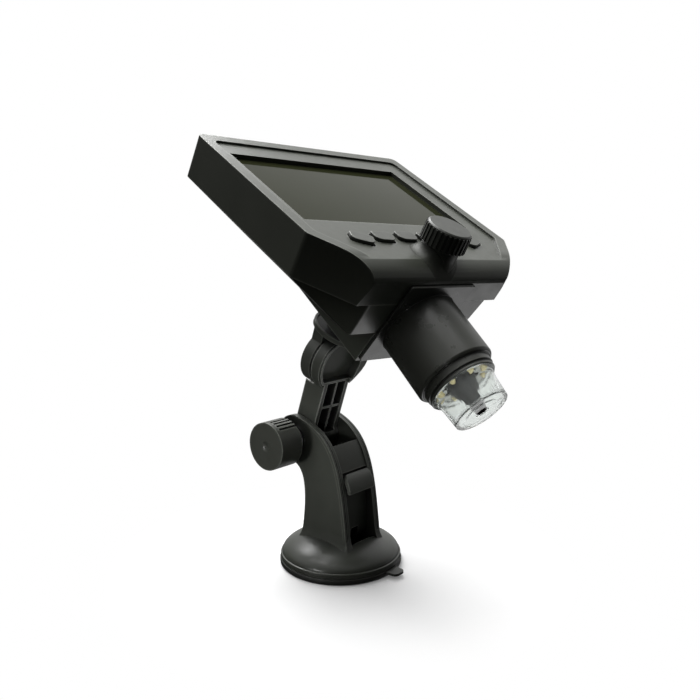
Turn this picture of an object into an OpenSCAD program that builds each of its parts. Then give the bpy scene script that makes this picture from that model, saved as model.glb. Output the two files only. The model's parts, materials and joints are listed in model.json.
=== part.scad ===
// Desktop digital microscope with a built-in screen: a suction-foot stand, a swing arm,
// a tilting mount and a camera head with a focusing tube. All sizes are in millimetres.
// The origin is the centre of the foot's underside, +Z is up and the user sits at -Y.

/* [Foot] */
// Radius of the rubber suction foot
foot_r = 29.1; // [27:0.1:36]
// Thickness of the rubber foot's rim
foot_t = 3; // [2.8:0.1:4]
// Thickness of the rubber membrane inside the rim
membrane_t = 2.2; // [1.5:0.1:2.4]
// Width of the foot's thick rim
foot_rim_w = 5; // [3:0.1:6]
// How far the pull tab stands out of the foot
tab_out = 5.3; // [3:0.1:8]
// Width of the pull tab
tab_w = 6.5; // [4:0.1:10]
// Thickness of the pull tab
tab_t = 1.6; // [1:0.1:2.2]

/* [Stand] */
// How far the moulded stand steps in from the rubber foot
band_step = 0.4; // [0.2:0.1:1]
// Height of the straight band at the bottom of the stand
band_h = 2.5; // [2:0.1:4]
// Rise of the dome above the band
dome_rise = 9; // [8:0.1:9.4]
// Distance between the outer faces of the two cheeks
cheek_span = 23.4; // [22:0.1:26]
// Thickness of each cheek
cheek_t = 3; // [2.4:0.1:3.2]
// Half the length of the cheeks at their feet
cheek_foot = 15; // [14:0.1:17]
// Radius of the round top of the cheeks
cheek_top_r = 11.5; // [10.5:0.1:13]
// Distance of the arm's pivot behind the centre of the foot
pivot_y = 19; // [16:0.1:21]
// Height of the arm's pivot
pivot_z = 59; // [57:0.1:66]
// Thickness of the webs that join the cheeks
web_t = 2.2; // [1.6:0.1:2.6]
// Height of the front web
web_h = 11.2; // [8:0.1:13]
// Height of the underside of the front web
web_z = 46.8; // [46.6:0.1:48]
// Height and depth of the raised strip along the cheeks' front edges
edge_strip = 0.6; // [0.3:0.1:0.9]

/* [Suction lever] */
// Distance of the lever's pin behind the centre of the foot
lever_y = 1; // [0.5:0.1:1.5]
// Height of the lever's pin
lever_z = 18; // [17.6:0.1:18.6]
// Radius of the lever's pin
lever_pin_r = 1.5; // [1:0.1:1.8]
// Length of the lever from its pin to the top of its lip
lever_len = 28; // [26:0.1:28.2]
// Radius of the eccentric on the lever's pin
cam_r = 5.5; // [5:0.1:5.6]
// Lift of the foot's stud as the lever swings from rest to its stop
stud_lift = 1.8; // [1.2:0.1:2]
// Swing of the lever from rest to its stop, in degrees
lever_swing = 65; // [50:1:65]
// Radius of the stud's rod
stud_r = 2.1; // [1.8:0.1:2.1]

/* [Arm] */
// Distance between the arm's pivot and the mount's hinge
arm_len = 40.35; // [39:0.05:60]
// Forward lean of the arm, in degrees
arm_lean = 18.8; // [15:0.1:25]
// Clearance between the arm and a cheek
arm_gap = 0.4; // [0.3:0.05:1]
// Distance of the arm's front face from its axis
arm_front = 7; // [6.6:0.1:7.4]
// Depth of the arm, front to back
arm_depth = 12; // [11.5:0.1:13]
// Wall of the arm's open channel
arm_wall = 1.7; // [1.2:0.1:2.2]
// Radius of the two round plates of the mount's hinge
hinge_r = 13.3; // [12.8:0.1:13.6]
// Thickness of the mount's plate of the hinge
hinge_plate_t = 6.5; // [5:0.1:7]
// Depth of the round recess in the front of the arm's head
cup_depth = 3.3; // [2.5:0.1:4]
// Radius of the clamp bolt and the hinge bolt
bolt_r = 2.5; // [2:0.1:3]

/* [Clamp knob] */
// Radius of the clamp knob over its ribs
clamp_r = 11.2; // [9:0.1:13]
// Length of the clamp knob's grip
clamp_len = 12.5; // [9:0.1:15]
// Distance of the knob's outer face from the middle of the stand
clamp_face_x = 30; // [29:0.1:36]

/* [Mount] */
// Radius of the mount's dish
dish_r = 14.6; // [13:0.1:16]
// Height of the dish's rim over its underside
dish_h = 2.4; // [2.2:0.1:4]
// Radius of the tripod thread, a quarter of an inch across
tripod_r = 3.175; // [2.5:0.005:3.5]

/* [Head placing] */
// Backward slope of the face: angle of the face from level, in degrees
head_tilt = 28.7; // [20:0.1:35]
// Turn of the head on the mount, in degrees
head_swivel = 5.6; // [0:0.1:10]
// Distance from the mount's hinge to the face, along the swivel axis
face_h = 75.3; // [75.1:0.1:80]
// Distance of the swivel axis above the screen's lower edge
swivel_v = 4.6; // [2:0.1:6]

/* [Head shell] */
// Width of the face
face_w = 119.4; // [118:0.1:130]
// Height of the face above the screen's upper edge
face_margin = 15.2; // [15:0.1:22]
// Where the straight sides end, below the screen's lower edge
side_end = 12.2; // [10:0.1:14]
// Slant of the lower side edges: sideways run for each unit of height
slant = 0.843; // [0.7:0.001:0.9]
// Depth of the front shell at its sides
shell_d = 18.9; // [18.4:0.1:24]
// Wall thickness of the two shells
wall = 2.2; // [1.6:0.1:2.6]
// Width of the raised rim round the face
rim_w = 5.2; // [4:0.1:6]
// Depth of the panel below the rim
rim_step = 1; // [0.5:0.1:1.4]
// Where the chin starts to curve back, below the screen's lower edge
chin_start = 22.5; // [20:0.1:24]
// How far back the chin's curve ends
chin_depth = 8.7; // [7:0.1:9]
// Radius of the outline's corners
corner_r = 3; // [1:0.1:6]
// Half the width of the rear cover's raised middle
rear_half_w = 36; // [33:0.1:40]
// Depth of the rear cover's raised middle behind the face
rear_d = 35; // [34:0.1:38]
// Top of the rear cover's raised middle
rear_top = 47; // [40:0.1:52]
// Half the width of the rear block
block_half_w = 20.5; // [20:0.1:24]
// Depth of the rear block at the swivel axis
block_d = 47.6; // [46.7:0.1:48.7]
// Slope of the rear block's back, in degrees
block_slope = 7.9; // [6:0.1:9]
// Top of the rear block's back
block_top = 24; // [20:0.1:28]

/* [Screen] */
// Visible width of the screen
screen_w = 97; // [90:0.1:98]
// Visible height of the screen
screen_h = 56; // [50:0.1:58]
// Sideways offset of the screen's middle
screen_off = -3.15; // [-3.5:0.05:3.5]
// Thickness of the screen's glass
glass_t = 1; // [0.8:0.1:1.2]
// Thickness of the display module
lcd_t = 3.2; // [2.4:0.1:3.3]
// Thickness of the main circuit board
pcb_t = 1.6; // [1:0.1:1.8]
// Side of the main chip
chip_w = 16; // [10:0.5:18]
// Width of the battery
battery_w = 50; // [40:0.5:56]
// Thickness of the battery
battery_t = 6; // [4:0.1:6.4]

/* [Keys] */
// Length of a key
key_l = 10.5; // [8:0.1:11.5]
// Width of a key
key_w = 6.5; // [5:0.1:7]
// How far a key stands out of the panel
key_out = 1.4; // [0.8:0.1:2]
// Travel of a key
key_travel = 0.5; // [0.3:0.05:0.6]
// Gap round a key
key_gap = 0.25; // [0.15:0.05:0.35]

/* [Focus] */
// Radius of the focus knob
knob_r = 9.8; // [9:0.1:11]
// Height of the focus knob's grip
knob_h = 8.3; // [6:0.1:12]
// Height of the focus knob's lower face over the rim
knob_lift = 3.9; // [3:0.1:5]
// Distance of the focus knob's axis below the screen's lower edge
knob_v = 25.2; // [24.8:0.1:26]
// Number of ridges round the focus knob
knob_ridges = 30; // [20:1:40]
// Radius of the focus shaft
shaft_r = 2.2; // [1.8:0.1:2.4]
// Teeth of the pinion
pinion_teeth = 10; // [10:1:10]
// Tooth size of the rack and pinion
tooth_m = 0.6; // [0.5:0.01:0.6]
// Travel of the focus, in teeth of the pinion
focus_teeth = 6; // [4:1:6]

/* [Tube] */
// Angle of the tube from the plane of the face, in degrees
tube_tilt = 12.5; // [10:0.1:14]
// Distance of the tube's axis behind the face, square to it
tube_back = 22.65; // [22.6:0.05:23]
// Distance of the head's underside along the tube
under_a = 36.2; // [36:0.1:37]
// Outer radius of the tube
tube_r = 17.2; // [17:0.1:18]
// Wall of the tube
tube_wall = 1.5; // [1:0.1:1.5]
// Length of the tube below the head
tube_len = 30.3; // [28:0.1:36]
// Half the width of the flange plate under the head
flange_half_w = 20; // [19.5:0.1:20.4]
// Thickness of the flange plate
flange_t = 1.3; // [1:0.1:2]
// Radius of the nose ring
nose_r = 15.2; // [14.8:0.1:15.6]
// Length of the nose ring with its groove
nose_len = 4.5; // [4:0.1:5]
// Radius of the clear cap at its flange
cap_r = 14.2; // [13.8:0.1:14.4]
// Radius of the clear cap at its end
cap_end_r = 11.9; // [11:0.1:12.4]
// Length of the clear cap
cap_len = 13; // [12:0.1:16]
// Wall of the clear cap
cap_wall = 1.2; // [0.8:0.1:1.4]
// Radius of the hole in the cap's end
cap_hole_r = 3; // [2:0.1:5]
// Outer radius of the lens barrel
barrel_r = 9; // [8.5:0.1:9]
// Number of lamps round the lens
led_count = 8; // [4:1:12]

/* [Hidden] */
$fn = 64;

// Colours
PLASTIC = [0.13, 0.13, 0.125];
PLASTIC_DARK = [0.07, 0.07, 0.07];
RUBBER = [0.06, 0.06, 0.06];
STEEL = [0.7, 0.7, 0.72];
BRASS = [0.78, 0.62, 0.3];
BOARD = [0.05, 0.3, 0.14];

// Clearances: between pieces that stay together, that run in each other, and that pass freely
seat = 0.02;
run = 0.05;
free = 0.3;
over = 1;

// Stand, derived
stand_r = foot_r - band_step;
dome_z = foot_t + band_h;
dome_top = dome_z + dome_rise;
cheek_out = cheek_span / 2;
cheek_in = cheek_out - cheek_t;
floor_z = foot_t + 3.6;
flare = 1.6;
flare_rise = 6;
pocket_z = floor_z + 1.2;
pocket_y0 = -13.5;
pocket_y1 = 12;
cup_hollow_r = 22;

// Suction lever, derived: the eccentric's centre swings evenly about the level of the pin
half_swing = lever_swing / 2;
cam_e = stud_lift / (2 * sin(half_swing));
eye_y = lever_y + cam_e * (1 + cos(half_swing)) / 2;
eye_z = lever_z - cam_e * sin(half_swing);
eye_r = cam_r + 0.35;
eye_wall = 1.9;
eye_half_t = 1.9;
lever_half_w = cheek_in - free;
hub_r = 6;
web_top = web_z + web_h;
web_y = -1;
lever_slot_r = eye_r + eye_wall + 0.6;
slot_half = eye_half_t + 0.5;

// Arm and the mount's hinge, derived. The hinge's axis is square to the arm's front face.
hinge_y = pivot_y - arm_len * sin(arm_lean);
hinge_z = pivot_z + arm_len * cos(arm_lean);
arm_half = cheek_in - arm_gap;
hinge_gap = 0.15;
hinge_back = hinge_gap + hinge_plate_t;
joint_groove = 0.4;
joint_step = 0.9;
cup_floor_y = -arm_front + cup_depth;
cup_wall = 1.1;
cup_low = 8.6;
mount_lean = head_tilt - arm_lean;
arm_end_r = 9.5;
shelf_y = pivot_y - arm_end_r - 0.5;
nut_r = 4.6;
nut_t = 3;
hinge_nut_t = 2;
hinge_nut_y = -2.4;
bolt_head_t = 1.9;
washer_t = 0.9;
washer_r = 6.2;

// Mount, derived: heights are counted from the mount's hinge along the swivel axis
dish_z = hinge_r * cos(mount_lean) + arm_front * sin(mount_lean) + 1.6;
dish_floor_t = 1;
dish_wall = 1.2;
pad_t = 0.8;
pad_top = dish_z + dish_floor_t + pad_t;
stud_flange_r = 6;
stud_len = 7;
boss_r = 9;
insert_r = 4.6;
insert_len = 9;

// Head shell, derived
half_w = face_w / 2;
face_top = screen_h + face_margin;
slant_len = sqrt(1 + slant * slant);
under_v = -(under_a - sin(tube_tilt) * chin_depth) / cos(tube_tilt);
panel_w = -rim_step;
panel_t = 2;
panel_back = panel_w - panel_t;
boss_w = -(face_h - pad_top - run);
case_screw_at = [[-50, face_top - 9], [50, face_top - 9], [-46, -14], [46, -14]];
case_screw_r = 1.2;
case_head_r = 2.4;
case_head_t = 1.6;
case_head_w = -(shell_d + 3);
case_screw_len = 11;
post_r = 3.2;
pcb_post_at = [[-38, face_top - 6.2], [38, face_top - 6.2], [-41, -23], [41, -23]];
pcb_post_r = 2.6;
pcb_screw_r = 0.9;
pcb_w = panel_back - 6;
pcb_back = pcb_w - pcb_t;
pcb_inset = 4;
pcb_bottom = -31;

// Screen, derived
screen_u0 = screen_off - screen_w / 2;
screen_u1 = screen_off + screen_w / 2;
glass_lap = 1.5;
glass_back = panel_back - glass_t;
lcd_back = glass_back - lcd_t;

// Keys, derived: the keys lie on a wide arc, and the two outer ones turn up the corners
key_at = [-33.5, -20.5, -6.5, 6.5, 20.5, 33.5];
key_turn = [-23, -3, -2, 2, 3, 23];
key_arc_r = 215;
key_arc_v = -11.9;
key_corner = 1.6;
key_flange = 0.7;
key_flange_w = panel_back - 0.1;
pad_w0 = key_flange_w - key_flange - key_travel - 0.1;
pad_thick = 0.8;

// Focus drive, derived
pitch_r = tooth_m * pinion_teeth / 2;
tooth_pitch = PI * tooth_m;
pinion_w0 = -17.9;
pinion_w1 = -14.9;
neck_r = 8;
neck_flare_r = 9.4;
neck_bottom = -7;
rack_slack = 0.12;
rack_b0 = -13.2;
rack_u1 = 7.4;

// Tube, derived: distances along the tube are counted down from the head's origin
tube_end = under_a + tube_len;
nose_end = tube_end + 0.5 + nose_len;
cap_a0 = nose_end;
cap_a1 = cap_a0 + cap_len;
bore_r = tube_r - tube_wall;
neck_hole_r = tube_r - 0.4;
lens_tip = cap_a1 - 0.3;
snout_r = cap_hole_r - 0.4;
snout_len = cap_wall + 1.2;
lens_r = snout_r - 0.7;
led_a = nose_end - 2;
// from the barrel's shoulder up to the lamp board, and the sleeve's place above the nose's spigot
barrel_gap = 3.5;
barrel_a0 = 16;
barrel_a1 = led_a - barrel_gap;
guide_len = 15;
guide_a1 = tube_end - 6.5;
guide_a0 = guide_a1 - guide_len;
led_ring_r = 10.6;
led_hole_r = 8.3;

// ---------------------------------------------------------------- shared geometry

function unit(v) = v / norm(v);
function wrap(a) = (a + 540) % 360 - 180;

// Points of an arc that rounds the corner at p between the directions a and b
function corner_arc(p, a, b, r, n) =
    let (
        half = acos(a * b) / 2,
        c = p + unit(a + b) * r / sin(half),
        s = p + a * r / tan(half) - c,
        e = p + b * r / tan(half) - c,
        s_ang = atan2(s[1], s[0]),
        turn = wrap(atan2(e[1], e[0]) - s_ang)
    )
    [for (k = [0:n]) c + r * [cos(s_ang + turn * k / n), sin(s_ang + turn * k / n)]];

// An outline with each corner rounded by r, or by its own value where r is a list
function rounded(pts, r, n = 5) =
    let (m = len(pts))
    [for (i = [0:m - 1])
        let (
            p = pts[i],
            a = unit(pts[(i + m - 1) % m] - p),
            b = unit(pts[(i + 1) % m] - p)
        )
        each corner_arc(p, a, b, is_list(r) ? r[i] : r, n)];

function bezier(p, t) =
    pow(1 - t, 3) * p[0] + 3 * t * pow(1 - t, 2) * p[1] + 3 * t * t * (1 - t) * p[2]
    + pow(t, 3) * p[3];

function curve(p, n = 14) = [for (k = [0:n]) bezier(p, k / n)];

// Extrudes a drawing of (y, z) from x0 to x1
module along_x(x0, x1) {
    translate([x0, 0, 0]) rotate([90, 0, 90]) linear_extrude(x1 - x0) children();
}

// A round bar along X
module bar_x(r, x0, x1) {
    translate([x0, 0, 0]) rotate([0, 90, 0]) cylinder(r = r, h = x1 - x0);
}

// Extrudes a drawing of (x, z) from y0 to y1
module along_y(y0, y1) {
    translate([0, y1, 0]) rotate([90, 0, 0]) linear_extrude(y1 - y0) children();
}

// A round bar along Y
module bar_y(r, y0, y1) {
    translate([0, y0, 0]) rotate([-90, 0, 0]) cylinder(r = r, h = y1 - y0);
}

// A block between two corners
module block(a, b) {
    translate(a) cube(b - a);
}

// A round bar along Z between two heights
module bar_z(r, z0, z1) {
    translate([0, 0, z0]) cylinder(r = r, h = z1 - z0);
}

module at_pivot() {
    translate([0, pivot_y, pivot_z]) children();
}

module at_lever() {
    translate([0, lever_y, lever_z]) children();
}

// The arm's own frame: Z runs up the arm from its pivot
module in_arm() {
    at_pivot() rotate([arm_lean, 0, 0]) children();
}

// The mount's hinge, in the arm's frame: Y is the hinge's axis and points back
module at_hinge() {
    in_arm() translate([0, 0, arm_len]) children();
}

// The mount's frame: the origin is on its hinge and Z is the swivel axis
module in_mount() {
    translate([0, hinge_y, hinge_z]) rotate([head_tilt, 0, 0]) children();
}

// The head's frame: X runs along the screen, Y up the screen and Z out of the face.
// The origin is on the rim's plane, at the middle of the screen's lower edge line.
module in_head() {
    in_mount() translate([0, 0, face_h]) rotate([0, 0, -head_swivel])
        translate([0, -swivel_v, 0]) children();
}

// The tube's frame inside the head: Z runs up the tube's axis and Y away from the user
module tube_frame() {
    translate([0, tube_back * sin(tube_tilt), -tube_back * cos(tube_tilt)])
        rotate([tube_tilt - 90, 0, 0]) children();
}

module in_tube() {
    in_head() tube_frame() children();
}

// The focus knob's axis, in the head's frame
module at_knob() {
    translate([0, -knob_v, 0]) children();
}

// ---------------------------------------------------------------- foot and stand

module suction_cup() {
    rim_in = foot_r - foot_rim_w;
    color(RUBBER) difference() {
        union() {
            rotate_extrude($fn = 96) polygon([
                [0, 0], [foot_r - 0.6, 0], [foot_r, 0.6], [foot_r, foot_t - 0.6],
                [foot_r - 0.6, foot_t], [rim_in, foot_t], [rim_in - 1.5, membrane_t], [0, membrane_t]
            ]);
            translate([3, 0, foot_t - tab_t]) linear_extrude(tab_t) polygon(rounded([
                [-tab_w / 2 - 1, -foot_r + 3], [tab_w / 2 + 1, -foot_r + 3],
                [tab_w / 2, -foot_r - tab_out], [-tab_w / 2, -foot_r - tab_out]
            ], [0.5, 0.5, 2, 2]));
        }
        // sealing groove in the underside
        translate([0, 0, -over]) difference() {
            cylinder(r = rim_in + 1, h = over + 0.5, $fn = 96);
            translate([0, 0, -over]) cylinder(r = rim_in - 0.5, h = 3 * over, $fn = 96);
        }
    }
}

// Side view of a cheek: two curved edges that run up into a round top
module cheek_profile() {
    foot_z = dome_z + 2;
    polygon(concat(
        curve([
            [-cheek_foot, foot_z], [-cheek_foot + 4, pivot_z - 9.4],
            [pivot_y - 27.4, pivot_z + 5.5], [pivot_y - 1.2, pivot_z + cheek_top_r - 0.1]
        ]),
        curve([
            [pivot_y, pivot_z - cheek_top_r], [pivot_y - 10.5, pivot_z - cheek_top_r - 3.5],
            [cheek_foot - 2, foot_z + 15], [cheek_foot + 0.3, foot_z]
        ])
    ));
    translate([pivot_y, pivot_z]) circle(r = cheek_top_r);
}

// The part of the cheeks' side view that lies within t of their front edge
module front_edge(t) {
    difference() {
        cheek_profile();
        translate([t, -t / 3]) cheek_profile();
        translate([pivot_y, pivot_z]) circle(r = cheek_top_r + over);
    }
}

module dome() {
    cap_r0 = stand_r - 0.7;
    rotate_extrude($fn = 96) polygon(concat(
        [[0, foot_t], [stand_r, foot_t], [stand_r, dome_z - 0.4]],
        [for (k = [0:15]) [cap_r0 * cos(6 * k), dome_z + dome_rise * sin(6 * k)]]
    ));
}

// Flared root of the cheeks on the dome
module cheek_root() {
    low = dome_top - 4.5;
    hull() {
        translate([0, 0, low]) linear_extrude(0.1) polygon(rounded([
            [-cheek_out - flare, -cheek_foot - flare], [cheek_out + flare, -cheek_foot - flare],
            [cheek_out + flare, cheek_foot + flare], [-cheek_out - flare, cheek_foot + flare]
        ], 3));
        translate([0, 0, low + flare_rise / 2]) linear_extrude(0.1) polygon(rounded([
            [-cheek_out - 0.5, -cheek_foot - 0.4], [cheek_out + 0.5, -cheek_foot - 0.4],
            [cheek_out + 0.5, cheek_foot + 0.4], [-cheek_out - 0.5, cheek_foot + 0.4]
        ], 2));
        translate([0, 0, low + flare_rise]) linear_extrude(0.1) polygon(rounded([
            [-cheek_out, -cheek_foot + 0.6], [cheek_out, -cheek_foot + 0.6],
            [cheek_out, cheek_foot - 0.6], [-cheek_out, cheek_foot - 0.6]
        ], 0.5));
    }
}

module stand_base() {
    color(PLASTIC) difference() {
        union() {
            dome();
            difference() {
                union() {
                    cheek_root();
                    along_x(-cheek_out, cheek_out) cheek_profile();
                    for (s = [-1, 1]) along_x(s * cheek_out - edge_strip / 2, s * cheek_out + edge_strip / 2)
                        front_edge(2.6);
                }
                // slot between the cheeks, with the front web, its shelf and the rear wall left standing
                along_x(-cheek_in, cheek_in) difference() {
                    translate([-60, dome_z]) square([120, 120]);
                    intersection() {
                        translate([0.7, 0]) front_edge(web_t + 0.9);
                        translate([-60, web_z]) square([120, web_h]);
                    }
                    // shelf behind the web's top, clear of the arm's round end
                    polygon([
                        [web_y, web_top - 0.6], [shelf_y, web_top - 1.6],
                        [shelf_y - 0.2, web_top - 3.4], [web_y, web_top - 2.6]
                    ]);
                    // rear wall up to the arm's swing
                    intersection() {
                        difference() {
                            cheek_profile();
                            translate([-web_t, 0]) cheek_profile();
                        }
                        translate([0, dome_z - over]) square([60, pivot_z - 24 - dome_z]);
                    }
                }
            }
        }
        // pocket in the dome for the swing of the lever, and the bore of the stud
        block([-cheek_in, pocket_y0, pocket_z], [cheek_in, pocket_y1, dome_top + over]);
        bar_z(stud_r + run, foot_t - over, dome_top + over);
        // hollow over the membrane
        bar_z(cup_hollow_r, foot_t - over, floor_z);
        // bores of the lever's pin and the clamp bolt, and the nut's pocket
        at_lever() bar_x(lever_pin_r + seat, -cheek_out + 0.8, cheek_out + over);
        at_pivot() bar_x(bolt_r + run, -cheek_out - over, cheek_out + over);
        at_pivot() translate([cheek_out - 2, 0, 0]) rotate([0, 90, 0])
            cylinder(r = nut_r + seat, h = 4, $fn = 6);
    }
}

module lever_pin() {
    color(STEEL) at_lever() bar_x(lever_pin_r, -cheek_out + 0.9, cheek_out - 0.3);
}

module clamp_nut() {
    color(STEEL) at_pivot() difference() {
        translate([cheek_out - 2 + seat, 0, 0]) rotate([0, 90, 0]) cylinder(r = nut_r, h = nut_t, $fn = 6);
        bar_x(bolt_r + run, 0, cheek_out + 3);
    }
}

// ---------------------------------------------------------------- suction lever

module suction_stud() {
    plate_z = membrane_t + seat;
    color(STEEL) difference() {
        union() {
            bar_z(cup_hollow_r - 12, plate_z, plate_z + 1.2);
            bar_z(stud_r, plate_z, eye_z - eye_r - eye_wall + 0.3);
            block([-eye_half_t, -stud_r + 0.5, eye_z - eye_r - eye_wall - 1],
                [eye_half_t, stud_r + 1, eye_z - eye_r - 0.2]);
            translate([0, eye_y, eye_z]) bar_x(eye_r + eye_wall, -eye_half_t, eye_half_t);
        }
        translate([0, eye_y, eye_z]) bar_x(eye_r, -eye_half_t - over, eye_half_t + over);
    }
}

module lever_cam() {
    half_t = slot_half - seat;
    color(BRASS) at_lever() difference() {
        translate([0, cam_e * cos(half_swing), -cam_e * sin(half_swing)])
            bar_x(cam_r, -half_t, half_t);
        bar_x(lever_pin_r + run, -half_t - over, half_t + over);
    }
}

module suction_lever() {
    top = lever_len;
    color(PLASTIC) at_lever() difference() {
        union() {
            bar_x(hub_r, -lever_half_w, lever_half_w);
            along_x(-lever_half_w, lever_half_w) polygon(rounded([
                [-9.75, 1], [-9.4, top - 10.8], [-12.3, top - 10.4], [-14.7, top - 2.2], [-13.6, top],
                [-10.6, top], [-6.5, top - 9], [-6.5, 6.5], [0.5, 5.9], [0.5, -5.9], [-7.4, -6.3]
            ], [0.5, 0.8, 0.8, 1.2, 1, 0.5, 2, 1.5, 0.05, 0.05, 0.3], 4));
            // round front of the hub, turned about the pin
            intersection() {
                bar_x(9.8, -lever_half_w, lever_half_w);
                block([-lever_half_w, -12, -6.3], [lever_half_w, -3, 2]);
            }
        }
        bar_x(lever_pin_r + run, -lever_half_w - over, lever_half_w + over);
        // room for the stud's eye and, below it, for the stud through the whole swing
        translate([0, cam_e * cos(half_swing), -cam_e * sin(half_swing)])
            bar_x(lever_slot_r, -slot_half, slot_half);
        block([-slot_half, -12, -12], [slot_half, 7, 0.6]);
    }
}

// ---------------------------------------------------------------- clamp knob

module clamp_knob() {
    inner = clamp_face_x - clamp_len;
    neck_end = cheek_out + edge_strip / 2 + washer_t + 0.1;
    grooves = 4;
    groove_step = 11;
    groove_w = 1.1;
    groove_depth = 0.9;
    patch_turn = -21;
    face_land = 2.2;
    back_land = 0.8;
    color(PLASTIC_DARK) at_pivot() difference() {
        union() {
            bar_x(clamp_r, -clamp_face_x, -inner);
            bar_x(washer_r - 0.6, -inner - over, -neck_end);
        }
        // two patches of grip grooves, opposite each other
        for (k = [0:1], n = [0:grooves - 1])
            rotate([k * 180 + patch_turn + (n - (grooves - 1) / 2) * groove_step, 0, 0])
                block([-clamp_face_x + face_land, -groove_w / 2, clamp_r - groove_depth],
                    [-inner - back_land, groove_w / 2, clamp_r + over]);
        // dimple in the face
        bar_x(2.6, -clamp_face_x - over, -clamp_face_x + 0.5);
        bar_x(bolt_r + seat, -clamp_face_x + 3, 0);
    }
}

module clamp_bolt() {
    color(STEEL) at_pivot() bar_x(bolt_r, -clamp_face_x + 3.1, cheek_out + 2);
}

module clamp_washer() {
    inner = cheek_out + edge_strip / 2 + 0.05;
    color(STEEL) at_pivot() difference() {
        bar_x(washer_r, -inner - washer_t, -inner);
        bar_x(bolt_r + seat, -inner - 2, 0);
    }
}

// ---------------------------------------------------------------- arm

module arm_head() {
    lip = 1.2;
    bar_y(hinge_r, -arm_front + lip, -hinge_gap - joint_groove);
    bar_y(hinge_r - joint_step, -arm_front + lip, -hinge_gap);
    // lip, cut off level with the cross wall
    intersection() {
        bar_y(hinge_r - 0.35, -arm_front, -arm_front + lip + over);
        block([-20, -20, -cup_low], [20, 0, 20]);
    }
    // stop lug on the right, where the mount's dish ends its swing
    along_y(-arm_front - 1, cup_floor_y) polygon([
        [9, 1.5], [16.9, 1.5], [16.9, 0.2], [16.2, -1.7], [14.4, -4.3], [12.1, -6.6],
        [9.6, -8.7], [arm_half - 0.5, -9.8]
    ]);
}

module swing_arm() {
    back = arm_depth - arm_front;
    side = arm_wall + 0.6;
    low = bolt_r + 2.5;
    rib_x = 0.7;
    rib_z = arm_len - 21.6;
    color(PLASTIC) in_arm() difference() {
        union() {
            difference() {
                union() {
                    bar_x(arm_end_r, -arm_half, arm_half);
                    block([-arm_half, -arm_front, 0], [arm_half, back, arm_len]);
                }
                // the mount's plate turns behind the arm's head
                translate([0, 0, arm_len]) bar_y(hinge_r + free, -hinge_gap, back + over);
            }
            translate([0, 0, arm_len]) arm_head();
        }
        // open channel in the front, with a rib along it and one across
        difference() {
            union() {
                block([-arm_half + side, -arm_front - over, low],
                    [arm_half - side, back - arm_wall, arm_len - hinge_r - 2.2]);
                block([-arm_half + side, -arm_front - over, low],
                    [arm_half - side, -hinge_gap - arm_wall, arm_len - cup_low]);
            }
            block([rib_x - 0.6, -arm_front + 0.4, 0], [rib_x + 0.6, back, arm_len]);
            block([-arm_half, -arm_front + 0.4, rib_z - 0.6], [arm_half, back, rib_z + 0.6]);
        }
        // round recess in the arm's head, over the cross wall at the top of the channel
        translate([0, 0, arm_len]) intersection() {
            bar_y(hinge_r - 0.35 - cup_wall, -arm_front - over, cup_floor_y);
            block([-20, -20, -cup_low + 1.2], [20, 20, 20]);
        }
        bar_x(bolt_r + run, -arm_half - over, arm_half + over);
        // blind bore of the hinge's bolt and the pocket of its nut
        translate([0, 0, arm_len]) bar_y(bolt_r + run, hinge_nut_y - 0.3, back);
        translate([0, hinge_nut_y - seat, arm_len]) rotate([-90, 0, 0])
            cylinder(r = nut_r + seat, h = 4, $fn = 6);
    }
}

// ---------------------------------------------------------------- mount

module mount_plate() {
    // underside of the dish, seen in the frame of the hinge
    neck_y = [hinge_gap, hinge_back];
    neck_w = 9.5;
    color(PLASTIC) difference() {
        union() {
            at_hinge() bar_y(hinge_r, hinge_gap + joint_groove, hinge_back);
            at_hinge() bar_y(hinge_r - joint_step, hinge_gap, hinge_back);
            at_hinge() along_x(-neck_w, neck_w) polygon([
                [neck_y[0], 0], [neck_y[1], 0],
                [neck_y[1], (dish_z + 0.5) / cos(mount_lean) + neck_y[1] * tan(mount_lean)],
                [neck_y[0], (dish_z + 0.5) / cos(mount_lean) + neck_y[0] * tan(mount_lean)]
            ]);
            in_mount() bar_z(dish_r, dish_z, dish_z + dish_h);
        }
        in_mount() bar_z(dish_r - dish_wall, dish_z + dish_floor_t, dish_z + dish_h + over);
        at_hinge() bar_y(bolt_r + seat, 0, hinge_back + over);
        // seat of the bolt's head
        at_hinge() bar_y(nut_r + 0.4, hinge_back - bolt_head_t - 0.3, hinge_back + over);
    }
}

module hinge_bolt() {
    head_y = hinge_back - bolt_head_t - 0.3 + run;
    color(STEEL) at_hinge() difference() {
        union() {
            bar_y(bolt_r, hinge_nut_y - 0.2, head_y + 0.5);
            bar_y(nut_r, head_y, head_y + bolt_head_t);
        }
        // hexagon socket in the head
        translate([0, head_y + 0.9, 0]) rotate([-90, 0, 0]) cylinder(r = 1.7, h = 4, $fn = 6);
    }
}

module hinge_nut() {
    color(STEEL) at_hinge() difference() {
        translate([0, hinge_nut_y, 0]) rotate([-90, 0, 0]) cylinder(r = nut_r, h = hinge_nut_t, $fn = 6);
        bar_y(bolt_r + seat, hinge_nut_y - over, over);
    }
}

module mount_stud() {
    flange_top = pad_top;
    color(STEEL) in_mount() {
        bar_z(stud_flange_r, dish_z + dish_floor_t + seat, flange_top);
        bar_z(tripod_r, flange_top - 0.5, flange_top + stud_len);
    }
}

module mount_pad() {
    color(RUBBER) in_mount() difference() {
        bar_z(dish_r - dish_wall - 0.2, dish_z + dish_floor_t + seat, pad_top);
        bar_z(stud_flange_r + 0.1, dish_z, pad_top + over);
    }
}

// ---------------------------------------------------------------- head shells

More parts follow.
